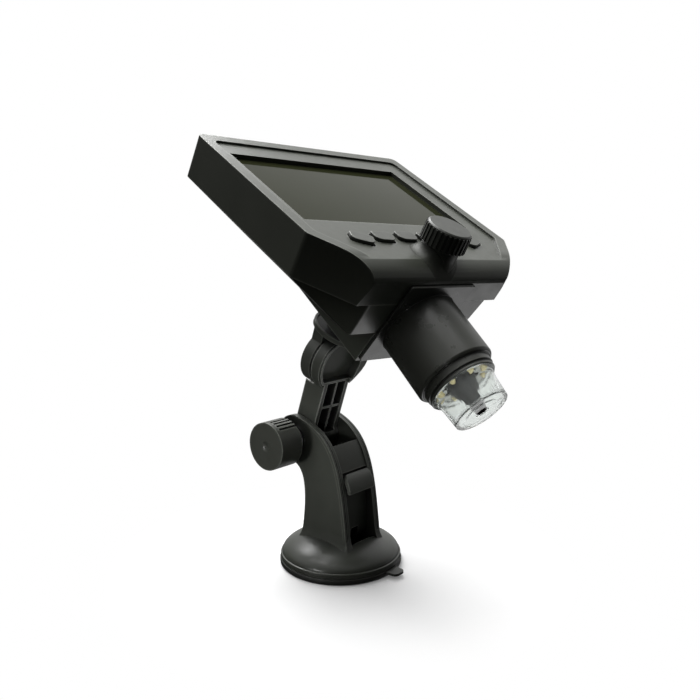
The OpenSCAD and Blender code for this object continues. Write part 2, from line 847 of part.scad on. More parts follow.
// Front outline of the head, set in by i
function head_outline(i) =
    let (
        w = half_w - i,
        side_v = -side_end + i * (slant_len - 1) / slant,
        low_v = under_v + i,
        low_u = half_w - slant * (-side_end - low_v) - i * slant_len
    )
    [[-w, face_top - i], [-w, side_v], [-low_u, low_v], [low_u, low_v], [w, side_v], [w, face_top - i]];

// Side view of the head's front, from the face back to a depth of d, set in by i.
// The chin is a quarter of an ellipse that runs into the underside's slope.
module head_side(i, front, d) {
    low_a = -under_a + i;
    low_v = (low_a + sin(tube_tilt) * chin_depth) / cos(tube_tilt);
    rise_v = -chin_start - low_v;
    rise_w = chin_depth + front;
    polygon(concat(
        [[face_top + over, -d], [face_top + over, front]],
        [for (k = [0:9]) [-chin_start - rise_v * sin(10 * k), front - rise_w * (1 - cos(10 * k))]],
        [[(low_a + sin(tube_tilt) * d) / cos(tube_tilt), -d]]
    ));
}

module post(at, r, w0, w1) {
    translate([at[0], at[1], 0]) bar_z(r, w0, w1);
}

module tube_hole(r) {
    tube_frame() bar_z(r, -under_a - 5, -under_a + 5);
}

module key_place(i) {
    u = key_at[i];
    v = key_arc_v - key_arc_r + sqrt(key_arc_r * key_arc_r - u * u);
    translate([u, v, 0]) rotate([0, 0, key_turn[i]]) children();
}

function key_outline(grow) = rounded([
    [-key_l / 2 - grow, -key_w / 2 - grow], [key_l / 2 + grow, -key_w / 2 - grow],
    [key_l / 2 + grow, key_w / 2 + grow], [-key_l / 2 - grow, key_w / 2 + grow]
], key_corner);

// Where the ports come through the right-hand wall: middle height, depth, length and thickness
usb_at = [30, pcb_back - 1.6, 8.4, 3.6];
card_at = [8, pcb_back - 1.3, 12.4, 1.8];

module port_hole(p) {
    block([half_w - wall - over, p[0] - p[2] / 2, p[1] - p[3] / 2],
        [half_w + over, p[0] + p[2] / 2, p[1] + p[3] / 2]);
}

module front_solid() {
    intersection() {
        translate([0, 0, -shell_d]) linear_extrude(shell_d) polygon(rounded(head_outline(0), corner_r));
        along_x(-half_w, half_w) head_side(0, 0, shell_d);
    }
}

module front_hollow() {
    intersection() {
        translate([0, 0, -shell_d - over]) linear_extrude(shell_d + over + panel_back)
            polygon(rounded(head_outline(wall), corner_r - 1));
        along_x(-half_w, half_w) head_side(wall, panel_back, shell_d + over);
    }
}

module front_shell() {
    color(PLASTIC) in_head() difference() {
        union() {
            difference() {
                front_solid();
                front_hollow();
            }
            for (p = case_screw_at) post(p, post_r, -shell_d, panel_back);
            for (p = pcb_post_at) post(p, pcb_post_r, pcb_w, panel_back);
            // neck of the focus knob
            at_knob() rotate_extrude() polygon([
                [0, knob_lift - free], [neck_r, knob_lift - free], [neck_r, 0],
                [neck_r + 0.4, -3.5], [neck_flare_r, neck_bottom], [0, neck_bottom]
            ]);
        }
        // panel set down inside the rim
        difference() {
            translate([0, 0, panel_w]) linear_extrude(over - panel_w)
                polygon(rounded(head_outline(rim_w), corner_r));
            at_knob() bar_z(neck_r, -5, 5);
        }
        // screen opening
        block([screen_u0, 0, panel_back - over], [screen_u1, screen_h, over]);
        for (i = [0:5]) key_place(i) translate([0, 0, panel_back - over]) linear_extrude(5)
            polygon(key_outline(key_gap));
        at_knob() bar_z(shaft_r + run, neck_bottom - over, knob_lift + over);
        for (p = case_screw_at) post(p, case_screw_r + seat, -shell_d - over, -shell_d + 9);
        for (p = pcb_post_at) post(p, pcb_screw_r + seat, pcb_w - over, pcb_w + 4.6);
        tube_hole(neck_hole_r);
        port_hole(usb_at);
        port_hole(card_at);
    }
}

// Rear cover's tapered body, set in by i, between its rim and its raised middle
module rear_taper(i) {
    rim_w0 = -shell_d + (i > 0 ? over : 0);
    low_v = -(under_a - i + sin(tube_tilt) * rim_w0) / cos(tube_tilt);
    mid_low_v = -(under_a - i - sin(tube_tilt) * (rear_d - i)) / cos(tube_tilt);
    rim_low_u = block_half_w + 15;
    hull() {
        translate([0, 0, rim_w0 - 0.02]) linear_extrude(0.02) polygon(rounded([
            [-half_w + i, face_top - i], [-half_w + i, -side_end + 0.3 * i],
            [-rim_low_u + i, low_v], [rim_low_u - i, low_v],
            [half_w - i, -side_end + 0.3 * i], [half_w - i, face_top - i]
        ], corner_r));
        translate([0, 0, -rear_d + i]) linear_extrude(0.02) polygon(rounded([
            [-rear_half_w + i, rear_top - i], [-rear_half_w + i, mid_low_v],
            [rear_half_w - i, mid_low_v], [rear_half_w - i, rear_top - i]
        ], 2));
    }
}

// Rear block: side view set in by i, with its back sloping away from the swivel axis
// and its underside a small step above the taper's
block_step = 0.06;
module rear_block(i) {
    back0 = -block_d + i;
    k = tan(block_slope);
    low_a = -under_a + i + block_step;
    low_v = (low_a - sin(tube_tilt) * (back0 - k * swivel_v)) / (cos(tube_tilt) + sin(tube_tilt) * k);
    in_w = -rear_d + wall + over;
    along_x(-block_half_w + i, block_half_w - i) polygon([
        [(low_a - sin(tube_tilt) * in_w) / cos(tube_tilt), in_w],
        [low_v, back0 + k * (low_v - swivel_v)],
        [block_top - i, back0 + k * (block_top - i - swivel_v)],
        [block_top + 8 - i, -rear_d + i],
        [block_top + 8 - i, in_w]
    ]);
}

module rear_cover() {
    color(PLASTIC) in_head() difference() {
        union() {
            difference() {
                union() {
                    rear_taper(0);
                    rear_block(0);
                }
                rear_taper(wall);
                rear_block(wall);
            }
            // screw columns, cut to the cover's own outside
            intersection() {
                rear_taper(0);
                union() {
                    for (p = case_screw_at) post(p, post_r + 0.6, -rear_d, -shell_d);
                }
            }
            // boss of the tripod thread
            translate([0, swivel_v, 0]) bar_z(boss_r, boss_w, -block_d + 4);
        }
        for (p = case_screw_at) {
            post(p, case_screw_r + seat, -rear_d, -shell_d + over);
            post(p, case_head_r + 0.2, -rear_d - over, case_head_w);
        }
        translate([0, swivel_v, 0]) bar_z(insert_r + seat, boss_w - over, boss_w + insert_len + seat);
        tube_hole(neck_hole_r);
    }
}

module tripod_insert() {
    color(BRASS) in_head() translate([0, swivel_v, 0]) difference() {
        bar_z(insert_r, boss_w + 0.1, boss_w + insert_len);
        bar_z(tripod_r + run, boss_w - over, boss_w + insert_len - 1);
    }
}

module case_screws() {
    color(STEEL) in_head() for (p = case_screw_at) {
        post(p, case_screw_r, case_head_w, case_head_w + case_screw_len);
        post(p, case_head_r, case_head_w - case_head_t - seat, case_head_w - seat);
        post(p, case_screw_r, case_head_w - 0.5, case_head_w);
    }
}

// ---------------------------------------------------------------- screen and electronics

module screen_glass() {
    color([0.3, 0.33, 0.3]) in_head() block([screen_u0 - glass_lap, -glass_lap, glass_back],
        [screen_u1 + glass_lap, screen_h + glass_lap, panel_back]);
}

module lcd_module() {
    color(STEEL) in_head() block([screen_u0 - glass_lap - 0.5, -glass_lap - 1, lcd_back],
        [screen_u1 + glass_lap + 0.5, screen_h + glass_lap + 1, glass_back]);
}

module lcd_ribbon() {
    low = -glass_lap - 1.4;
    color([0.75, 0.5, 0.2]) in_head() along_x(-12, 12) polygon([
        [low, lcd_back], [12, lcd_back], [12, lcd_back - 0.3], [low + 0.3, lcd_back - 0.3],
        [low + 0.3, pcb_w], [low, pcb_w]
    ]);
}

module main_board() {
    color(BOARD) in_head() difference() {
        union() {
            intersection() {
                translate([0, 0, pcb_back]) linear_extrude(pcb_t)
                    polygon(rounded(head_outline(pcb_inset), 2));
                block([-half_w, pcb_bottom, pcb_back - over], [half_w, face_top, pcb_w + over]);
            }
            // main chip and connectors on the back
            block([-chip_w - 2, 26, pcb_back - 1.4], [-2, 26 + chip_w, pcb_back]);
            block([14, 34, pcb_back - 1.6], [24, 46, pcb_back]);
            block([-6, -6, pcb_back - 1.5], [6, 5, pcb_back]);
        }
        at_knob() bar_z(shaft_r + 2.2, pcb_back - over, pcb_w + over);
        for (p = pcb_post_at) post(p, pcb_screw_r + seat, pcb_back - over, pcb_w + over);
        for (p = case_screw_at) post(p, post_r + free, pcb_back - over, pcb_w + over);
    }
}

module board_screws() {
    color(STEEL) in_head() for (p = pcb_post_at) {
        post(p, pcb_screw_r, pcb_back - 0.6, pcb_w + 4.4);
        post(p, 1.9, pcb_back - 1.2 - seat, pcb_back - seat);
    }
}

module key_switches() {
    top = pad_w0 - pad_thick - 0.1;
    color(PLASTIC_DARK) in_head() for (i = [0:5]) key_place(i) {
        block([-3, -3, pcb_w], [3, 3, pcb_w + 1.8]);
        bar_z(1.5, pcb_w + 1.5, top);
    }
}

module key_pad() {
    end_u = key_at[5] + key_l / 2 + 1.8;
    mid_u = key_at[5] - key_l / 2;
    top_v = key_arc_v + key_w / 2 + 2.1;
    low_v = key_arc_v - key_w;
    end_low_v = low_v - key_w / 2 - 0.4;
    color([0.5, 0.5, 0.5]) in_head() difference() {
        translate([0, 0, pad_w0 - pad_thick]) linear_extrude(pad_thick) polygon(rounded([
            [-end_u, top_v - 2.5], [-end_u, top_v - 6.5], [3.5 - end_u, end_low_v],
            [-mid_u - 0.7, end_low_v], [-mid_u + 2.2, low_v], [mid_u - 2.2, low_v],
            [mid_u + 0.7, end_low_v], [end_u - 3.5, end_low_v], [end_u, top_v - 6.5],
            [end_u, top_v - 2.5], [mid_u + 3.7, top_v], [-mid_u - 3.7, top_v]
        ], 1));
        at_knob() bar_z(neck_flare_r + 0.4, -20, 0);
        for (p = pcb_post_at) post(p, pcb_post_r + 0.2, -20, 0);
        for (p = case_screw_at) post(p, post_r + 0.2, -20, 0);
        // the lower edge of the display module
        block([-half_w, -glass_lap - 1.6, -20], [half_w, screen_h, 0]);
    }
}

module key(i) {
    color(PLASTIC_DARK) in_head() key_place(i) {
        translate([0, 0, key_flange_w - 0.2]) linear_extrude(panel_w + key_out - key_flange_w + 0.2)
            polygon(key_outline(0));
        translate([0, 0, key_flange_w - key_flange]) linear_extrude(key_flange)
            polygon(key_outline(0.8));
    }
}

module battery() {
    floor_w = -rear_d + wall + 0.05;
    top_v = rear_top - wall - 1;
    low_v = top_v - 0.68 * battery_w;
    color([0.75, 0.76, 0.78]) in_head() translate([0, 0, floor_w]) linear_extrude(battery_t)
        polygon(rounded([
            [-battery_w / 2, low_v], [battery_w / 2, low_v],
            [battery_w / 2, top_v], [-battery_w / 2, top_v]
        ], 2));
}

module usb_socket() {
    color(STEEL) in_head() difference() {
        block([half_w - 9, usb_at[0] - 3.9, usb_at[1] - 1.6], [half_w - 0.4, usb_at[0] + 3.9, pcb_back]);
        block([half_w - 7, usb_at[0] - 3.4, usb_at[1] - 1.1],
            [half_w + over, usb_at[0] + 3.4, usb_at[1] + 1.1]);
    }
}

module card_slot() {
    color(STEEL) in_head() difference() {
        block([half_w - 16, card_at[0] - 6.6, card_at[1] - 0.8],
            [half_w - wall - 0.1, card_at[0] + 6.6, pcb_back]);
        block([half_w - 15, card_at[0] - 5.6, card_at[1] - 0.4],
            [half_w, card_at[0] + 5.6, card_at[1] + 0.4]);
    }
}

// ---------------------------------------------------------------- tube

module tube_housing() {
    clamp_a = under_a - wall;
    color(PLASTIC) in_tube() difference() {
        union() {
            // flange plate, tube, neck through the shells and the inner clamping flange
            translate([0, 0, -under_a - flange_t]) linear_extrude(flange_t - seat) polygon(rounded([
                [-flange_half_w, -flange_half_w - 1.5], [flange_half_w, -flange_half_w - 1.5],
                [flange_half_w, flange_half_w + 1.5], [-flange_half_w, flange_half_w + 1.5]
            ], 2));
            rotate_extrude() polygon([
                [0, -under_a - 0.5], [tube_r, -under_a - 0.5], [tube_r, -tube_end + 1],
                [tube_r - 0.8, -tube_end], [0, -tube_end]
            ]);
            bar_z(neck_hole_r - 0.1, -under_a - 0.5, -clamp_a + 2);
            bar_z(neck_hole_r + 1.3, -clamp_a + 0.1, -clamp_a + 2);
        }
        bar_z(bore_r, -tube_end - over, 0);
    }
}

// Ring that guides the lens barrel inside the tube
module guide_sleeve() {
    color(PLASTIC_DARK) in_tube() difference() {
        bar_z(bore_r - seat, -guide_a1, -guide_a0);
        bar_z(barrel_r + run, -guide_a1 - over, -guide_a0 + over);
    }
}

module nose_ring() {
    spigot_r = bore_r - seat;
    top_a = tube_end - 6;
    color(PLASTIC_DARK) in_tube() rotate_extrude() polygon([
        [spigot_r, -top_a], [spigot_r, -tube_end], [nose_r, -tube_end - seat], [nose_r, -nose_end + 2],
        [cap_r + 0.1, -nose_end + 1.8], [cap_r + 0.1, -nose_end + 1.2], [cap_r + 0.6, -nose_end + 1],
        [cap_r + 0.6, -nose_end], [cap_r - 0.7, -nose_end], [cap_r - 0.7, -led_a],
        [cap_r - 2.4, -led_a], [cap_r - 2.4, -top_a]
    ]);
}

module led_board() {
    color([0.85, 0.85, 0.8]) in_tube() difference() {
        bar_z(cap_r - 0.8, -led_a - 1, -led_a - seat);
        bar_z(led_hole_r, -led_a - 2, -led_a + over);
    }
}

module leds() {
    color([1, 0.9, 0.55]) in_tube() for (k = [0:led_count - 1]) rotate([0, 0, k * 360 / led_count + 22])
        translate([led_ring_r, 0, 0]) rotate_extrude($fn = 24) polygon([
            [0, -led_a - 1 - seat], [1.3, -led_a - 1 - seat], [1.3, -led_a - 1.5],
            [0.9, -led_a - 2.2], [0, -led_a - 2.5]
        ]);
}

module clear_cap() {
    neck = 1.9;
    color([0.85, 0.88, 0.88, 0.5]) in_tube() rotate_extrude() polygon([
        // outside
        [cap_r - 0.8, -cap_a0 + 0.6], [cap_r - 0.8, -cap_a0 - seat], [cap_r, -cap_a0 - seat],
        [cap_r, -cap_a0 - 0.6], [cap_r - 1.3, -cap_a0 - neck], [cap_r - 1.7, -cap_a0 - 4.5],
        [cap_end_r, -cap_a1 + 0.3], [cap_end_r - 0.3, -cap_a1],
        // shallow ring on the end face, then the hole
        [cap_end_r - 2.4, -cap_a1], [cap_end_r - 2.7, -cap_a1 + 0.4], [cap_end_r - 4.4, -cap_a1 + 0.4],
        [cap_end_r - 4.7, -cap_a1], [cap_hole_r, -cap_a1], [cap_hole_r, -cap_a1 + cap_wall],
        // inside
        [cap_end_r - cap_wall - 0.4, -cap_a1 + cap_wall], [cap_r - 1.7 - cap_wall, -cap_a0 - 4.5],
        [cap_r - 0.8 - cap_wall, -cap_a0 - neck], [cap_r - 0.8 - cap_wall, -cap_a0 + 0.6]
    ]);
}

// ---------------------------------------------------------------- lens and focus drive

// Side view of one pinion tooth, pointing up from the hub
module pinion_tooth() {
    h = tooth_m * 0.9;
    w = tooth_pitch / 4 - rack_slack / 2;
    polygon([
        [-w - h * 0.3, pitch_r - h * 1.4], [-w, pitch_r], [-w + h * 0.45, pitch_r + h],
        [w - h * 0.45, pitch_r + h], [w, pitch_r], [w + h * 0.3, pitch_r - h * 1.4]
    ]);
}

module focus_pinion() {
    color(BRASS) in_head() at_knob() difference() {
        union() {
            bar_z(pitch_r - tooth_m, pinion_w0, pinion_w1);
            for (k = [0:pinion_teeth - 1]) rotate([0, 0, k * 360 / pinion_teeth - 90])
                translate([0, 0, pinion_w0]) linear_extrude(pinion_w1 - pinion_w0) pinion_tooth();
        }
        bar_z(shaft_r - 0.6 + seat, pinion_w0 - over, pinion_w1 + over);
    }
}

module focus_shaft() {
    color(STEEL) in_head() at_knob() {
        bar_z(shaft_r, pinion_w1 + seat, knob_lift + knob_h - 1.5);
        bar_z(shaft_r - 0.6, pinion_w0 - 0.2, pinion_w1 + 0.5);
    }
}

module shaft_clip() {
    color(STEEL) in_head() at_knob() difference() {
        bar_z(shaft_r + 1.6, neck_bottom - 0.7, neck_bottom - 0.1);
        bar_z(shaft_r + seat, neck_bottom - 2, neck_bottom + over);
    }
}

module focus_knob() {
    top = knob_lift + knob_h;
    color(PLASTIC_DARK) in_head() at_knob() difference() {
        union() {
            rotate_extrude($fn = 96) polygon([
                [0, knob_lift], [knob_r - 0.9, knob_lift], [knob_r - 0.5, knob_lift + 0.5],
                [knob_r - 0.5, top - 0.6], [knob_r - 1.1, top], [0, top]
            ]);
            for (k = [0:knob_ridges - 1]) rotate([0, 0, k * 360 / knob_ridges])
                block([knob_r - 1.2, -0.45, knob_lift + 0.3], [knob_r, 0.45, top - 0.9]);
        }
        bar_z(shaft_r + seat, knob_lift - over, top - 1.4);
    }
}

// Gaps between the rack's teeth, cut along the pinion's own axis
module rack_gap() {
    h = tooth_m * 0.95;
    w = tooth_pitch / 4 + rack_slack / 2;
    polygon([
        [-h - 1, -w - (h + 1) * 0.45], [h * 1.25, -w + h * 0.5],
        [h * 1.25, w - h * 0.5], [-h - 1, w + (h + 1) * 0.45]
    ]);
}

module lens_barrel() {
    rack_mid = knob_v * cos(tube_tilt) - sin(tube_tilt) * (pinion_w0 + pinion_w1) / 2;
    rack_up = 2.2 * tooth_pitch;
    rack_down = (focus_teeth + 2) * tooth_pitch;
    h = tooth_m * 0.9;
    color(PLASTIC_DARK) in_head() difference() {
        union() {
            tube_frame() difference() {
                union() {
                    rotate_extrude() polygon([
                        [0, -barrel_a0], [barrel_r, -barrel_a0], [barrel_r, -barrel_a1],
                        [barrel_r - 1.2, -barrel_a1 - 0.8], [snout_r, -lens_tip + snout_len],
                        [snout_r, -lens_tip + 0.3], [snout_r - 0.3, -lens_tip], [0, -lens_tip]
                    ]);
                    // rack carrier beside the pinion
                    block([pitch_r - h, rack_b0, -rack_mid - rack_down],
                        [rack_u1, -3, -rack_mid + rack_up]);
                }
                bar_z(barrel_r - 1.5, -barrel_a0 - 30, -barrel_a0 + over);
                bar_z(lens_r - 0.6, -lens_tip - over, -barrel_a0);
                bar_z(lens_r, -lens_tip - over, -lens_tip + 3);
            }
        }
        at_knob() translate([pitch_r, 0, -40]) linear_extrude(40)
            for (k = [-focus_teeth - 4:4]) translate([0, k * tooth_pitch]) rack_gap();
    }
}

module objective_lens() {
    color([0.6, 0.75, 0.8]) in_tube() rotate_extrude() polygon([
        [0, -lens_tip + 0.6], [lens_r - 0.7, -lens_tip + 0.75], [lens_r - seat, -lens_tip + 1.1],
        [lens_r - seat, -lens_tip + 2.96],
        [0, -lens_tip + 2.96]
    ]);
}

module sensor_board() {
    color(BOARD) in_tube() bar_z(barrel_r - 0.2, -barrel_a0 + seat, -barrel_a0 + 1.2);
}

module image_sensor() {
    color([0.2, 0.22, 0.25]) in_tube() block([-3.4, -3.4, -barrel_a0 - 1.2], [3.4, 3.4, -barrel_a0]);
}

module sensor_ribbon() {
    a0 = -barrel_a0 + 1.2 + seat;
    color([0.75, 0.5, 0.2]) in_tube() along_x(-4, 4) polygon([
        [2, a0], [-6.3, a0], [-6.3, a0 + 6], [-6, a0 + 6], [-6, a0 + 0.3], [2, a0 + 0.3]
    ]);
}

// ---------------------------------------------------------------- nodes

suction_cup();
stand_base();
lever_pin();
clamp_nut();
suction_stud();
suction_lever();
lever_cam();
clamp_knob();
clamp_bolt();
clamp_washer();
swing_arm();
mount_plate();
hinge_bolt();
hinge_nut();
mount_stud();
mount_pad();
front_shell();
rear_cover();
screen_glass();
lcd_module();
lcd_ribbon();
main_board();
key_switches();
key_pad();
battery();
usb_socket();
card_slot();
tripod_insert();
case_screws();
board_screws();
tube_housing();
guide_sleeve();
nose_ring();
led_board();
leds();
clear_cap();
key(0);  // key_1
key(1);  // key_2
key(2);  // key_3
key(3);  // key_4
key(4);  // key_5
key(5);  // key_6
focus_knob();
focus_shaft();
focus_pinion();
shaft_clip();
lens_barrel();
objective_lens();
sensor_board();
image_sensor();
sensor_ribbon();
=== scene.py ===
# Looks of the desktop digital microscope: materials, softened edges, detailed pieces, camera and light.
import bpy
import bmesh
import json
import math
from mathutils import Matrix, Vector

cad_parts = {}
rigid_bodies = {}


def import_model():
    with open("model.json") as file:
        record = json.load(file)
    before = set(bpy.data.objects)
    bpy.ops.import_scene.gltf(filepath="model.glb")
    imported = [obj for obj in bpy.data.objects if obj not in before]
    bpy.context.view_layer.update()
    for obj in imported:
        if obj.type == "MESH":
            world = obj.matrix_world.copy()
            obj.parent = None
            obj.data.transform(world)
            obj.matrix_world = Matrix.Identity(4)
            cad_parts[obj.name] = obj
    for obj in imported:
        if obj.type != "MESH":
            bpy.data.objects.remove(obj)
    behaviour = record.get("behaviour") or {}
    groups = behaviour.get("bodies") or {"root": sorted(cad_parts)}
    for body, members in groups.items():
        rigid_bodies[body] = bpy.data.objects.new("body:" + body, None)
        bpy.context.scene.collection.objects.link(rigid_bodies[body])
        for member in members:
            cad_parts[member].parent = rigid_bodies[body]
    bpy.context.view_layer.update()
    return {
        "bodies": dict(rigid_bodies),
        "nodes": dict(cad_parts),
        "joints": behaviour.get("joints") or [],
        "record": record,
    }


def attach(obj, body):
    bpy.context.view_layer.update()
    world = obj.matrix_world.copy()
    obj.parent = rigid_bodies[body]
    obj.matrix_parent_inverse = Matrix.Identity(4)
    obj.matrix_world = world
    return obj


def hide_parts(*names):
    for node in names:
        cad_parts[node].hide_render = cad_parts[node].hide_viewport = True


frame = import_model()
NODES = frame["nodes"]
MM = 0.001
scene = bpy.context.scene


# ---------------------------------------------------------------- camera

def camera():
    """Camera at the photograph's viewing angle, solved from the head's edges."""
    cam = bpy.data.cameras.new("camera")
    cam.sensor_width = 36.0
    cam.sensor_fit = "HORIZONTAL"
    cam.lens = 41.335
    cam.clip_start = 0.01
    cam.clip_end = 50.0
    ob = bpy.data.objects.new("camera", cam)
    scene.collection.objects.link(ob)
    right = Vector((0.668655, -0.743572, 0.000314))
    down = Vector((-0.126656, -0.11431, -0.985338))
    look = Vector((0.732706, 0.658812, -0.170612))
    spot = Vector((-268.797, -247.643, 165.714)) * MM
    m = Matrix.Identity(4)
    for i in range(3):
        m[i][0], m[i][1], m[i][2], m[i][3] = right[i], -down[i], -look[i], spot[i]
    ob.matrix_world = m
    scene.camera = ob


camera()


# ---------------------------------------------------------------- materials

# scales of the noise behind a plastic's tone and gloss
TONE, GLOSS = 45.0, 160.0
# how far from an edge the painted edge highlight goes, in metres, and how openness fades it and the painted
# crevice shade
EDGE_REACH = 0.0007
EDGE_FADE, CREVICE_FADE = (0.4, 0.92), (0.25, 0.9)


def new_mat(name):
    """Empty material with a Principled shader at its output."""
    m = bpy.data.materials.new(name)
    m.use_nodes = True
    nt = m.node_tree
    nt.nodes.clear()
    out = nt.nodes.new("ShaderNodeOutputMaterial")
    sh = nt.nodes.new("ShaderNodeBsdfPrincipled")
    nt.links.new(sh.outputs["BSDF"], out.inputs["Surface"])
    return m, nt, sh


def coords(nt):
    """Object coordinates, in metres."""
    tc = nt.nodes.new("ShaderNodeTexCoord")
    mp = nt.nodes.new("ShaderNodeMapping")
    nt.links.new(tc.outputs["Object"], mp.inputs["Vector"])
    return mp.outputs["Vector"]


def noise(nt, vec, scale, detail=3.0, rough=0.55):
    """Grey noise with about scale waves in a metre."""
    n = nt.nodes.new("ShaderNodeTexNoise")
    n.inputs["Scale"].default_value = scale
    n.inputs["Detail"].default_value = detail
    n.inputs["Roughness"].default_value = rough
    nt.links.new(vec, n.inputs["Vector"])
    return n.outputs["Fac"]


def ramp(nt, fac, stops):
    """Colour by stops of (place, colour) along a value from 0 to 1."""
    r = nt.nodes.new("ShaderNodeValToRGB")
    el = r.color_ramp.elements
    while len(el) < len(stops):
        el.new(0.5)
    for e, (pos, col) in zip(el, stops):
        e.position = pos
        e.color = tuple(col) + (1.0,)
    nt.links.new(fac, r.inputs["Fac"])
    return r.outputs["Color"]


def span(nt, fac, lo, hi):
    """Value that goes from lo to hi over the middle of a noise's range."""
    m = nt.nodes.new("ShaderNodeMapRange")
    m.inputs["From Min"].default_value = 0.3
    m.inputs["From Max"].default_value = 0.7
    m.inputs["To Min"].default_value = lo
    m.inputs["To Max"].default_value = hi
    nt.links.new(fac, m.inputs["Value"])
    return m.outputs["Result"]


def bump(nt, sh, height, dist):
    b = nt.nodes.new("ShaderNodeBump")
    b.inputs["Distance"].default_value = dist
    nt.links.new(height, b.inputs["Height"])
    nt.links.new(b.outputs["Normal"], sh.inputs["Normal"])


def near(nt, distance, inside):
    """How open a point is: seen from inside it falls at sharp edges, from outside in crevices."""
    ao = nt.nodes.new("ShaderNodeAmbientOcclusion")
    ao.samples = 6
    ao.inside = inside
    ao.only_local = inside
    ao.inputs["Distance"].default_value = distance
    return ao.outputs["AO"]


def blend(nt, fac, a, b, lo, hi):
    """Colour that goes from a to b as fac goes from lo to hi."""
    r = nt.nodes.new("ShaderNodeMapRange")
    r.inputs["From Min"].default_value = lo
    r.inputs["From Max"].default_value = hi
    nt.links.new(fac, r.inputs["Value"])
    m = nt.nodes.new("ShaderNodeMix")
    m.data_type = "RGBA"
    nt.links.new(r.outputs["Result"], m.inputs["Factor"])
    for sock, val in ((m.inputs[6], a), (m.inputs[7], b)):
        if isinstance(val, tuple):
            sock.default_value = val + (1.0,)
        else:
            nt.links.new(val, sock)
    return m.outputs[2]


def moulded(name, dark, light, rough, grain=2600.0, depth=0.00002, spec=0.5, edge_highlight=None, crevice_shade=None,
            reach=0.012):
    """Moulded plastic or rubber: fine grain, faint tone and gloss variation, a painted highlight on sharp
    edges, painted shade in crevices.
    """
    m, nt, sh = new_mat(name)
    v = coords(nt)
    big = noise(nt, v, TONE, 4.0)
    fine = noise(nt, v, grain, 2.0, 0.6)
    colour = ramp(nt, big, [(0.3, dark), (0.7, light)])
    # paler colour where a sharp edge is: a painted highlight
    if edge_highlight:
        colour = blend(nt, near(nt, EDGE_REACH, True), edge_highlight, colour, *EDGE_FADE)
    # darker colour in crevices, recesses and under nearby parts: painted shade
    if crevice_shade:
        colour = blend(nt, near(nt, reach, False), crevice_shade, colour, *CREVICE_FADE)
    nt.links.new(colour, sh.inputs["Base Color"])
    nt.links.new(span(nt, noise(nt, v, GLOSS, 3.0), rough - 0.04, rough + 0.05), sh.inputs["Roughness"])
    sh.inputs["Specular IOR Level"].default_value = spec
    bump(nt, sh, fine, depth)
    return m


def metal(name, dark, light, rough):
    """Metal with a faint grain in tone and gloss."""
    m, nt, sh = new_mat(name)
    v = coords(nt)
    n = noise(nt, v, 900.0, 3.0)
    nt.links.new(ramp(nt, n, [(0.3, dark), (0.7, light)]), sh.inputs["Base Color"])
    nt.links.new(span(nt, n, rough - 0.06, rough + 0.08), sh.inputs["Roughness"])
    sh.inputs["Metallic"].default_value = 1.0
    bump(nt, sh, n, 0.00001)
    return m


def board(name, dark, light):
    """Solder mask with faint copper runs under it."""
    m, nt, sh = new_mat(name)
    v = coords(nt)
    w = nt.nodes.new("ShaderNodeTexWave")
    w.inputs["Scale"].default_value = 140.0
    w.inputs["Distortion"].default_value = 6.0
    w.inputs["Detail"].default_value = 3.0
    nt.links.new(v, w.inputs["Vector"])
    nt.links.new(ramp(nt, w.outputs["Fac"], [(0.4, dark), (0.6, light)]), sh.inputs["Base Color"])
    nt.links.new(span(nt, noise(nt, v, 400.0), 0.28, 0.38), sh.inputs["Roughness"])
    bump(nt, sh, w.outputs["Fac"], 0.00002)
    return m


def glass(name, tint, rough, ior, through):
    """Clear plastic or glass; the light that doesn't go through it scatters in its skin."""
    m, nt, sh = new_mat(name)
    v = coords(nt)
    n = noise(nt, v, 220.0, 3.0)
    lo = tuple(c * 0.94 for c in tint)
    nt.links.new(ramp(nt, n, [(0.35, lo), (0.65, tint)]), sh.inputs["Base Color"])
    nt.links.new(span(nt, n, rough, rough + 0.05), sh.inputs["Roughness"])
    sh.inputs["Transmission Weight"].default_value = through
    sh.inputs["IOR"].default_value = ior
    bump(nt, sh, n, 0.00001)
    return m


# painted highlight on sharp edges, and painted shade in crevices in three strengths
EDGE_HIGHLIGHT = (0.20, 0.21, 0.185)
CREVICE_SHADE = (0.006, 0.0062, 0.0055)
CREVICE_SHADE_DARKER = (0.003, 0.003, 0.003)
CREVICE_SHADE_DARKEST = (0.002, 0.002, 0.002)
# scale of the faint waves in a polished surface, and their depth in metres
POLISHED, POLISH_DEPTH = 60.0, 0.000004

# a plastic's darker crevice colour is painted shade, and its paler edge colour a painted highlight
SHELL = moulded("shell_plastic", (0.046, 0.050, 0.040), (0.053, 0.057, 0.046), 0.34,
                edge_highlight=EDGE_HIGHLIGHT, crevice_shade=(0.014, 0.015, 0.012))
# darker copy of the shell plastic: painted shade round the focus knob's neck
FILLET_SHADED = moulded("fillet_plastic_shaded", (0.036, 0.039, 0.031), (0.042, 0.045, 0.036), 0.55,
                 spec=0.25, crevice_shade=CREVICE_SHADE_DARKEST)
STAND = moulded("stand_plastic", (0.052, 0.056, 0.047), (0.062, 0.066, 0.056), 0.33, edge_highlight=EDGE_HIGHLIGHT, crevice_shade=CREVICE_SHADE)
# lighter copy of the stand plastic: painted light on the lever's lip
LEVER_BRIGHTENED = moulded("lever_plastic_brightened", (0.064, 0.069, 0.058), (0.076, 0.081, 0.069), 0.36,
                edge_highlight=EDGE_HIGHLIGHT, crevice_shade=CREVICE_SHADE_DARKER, reach=0.022)
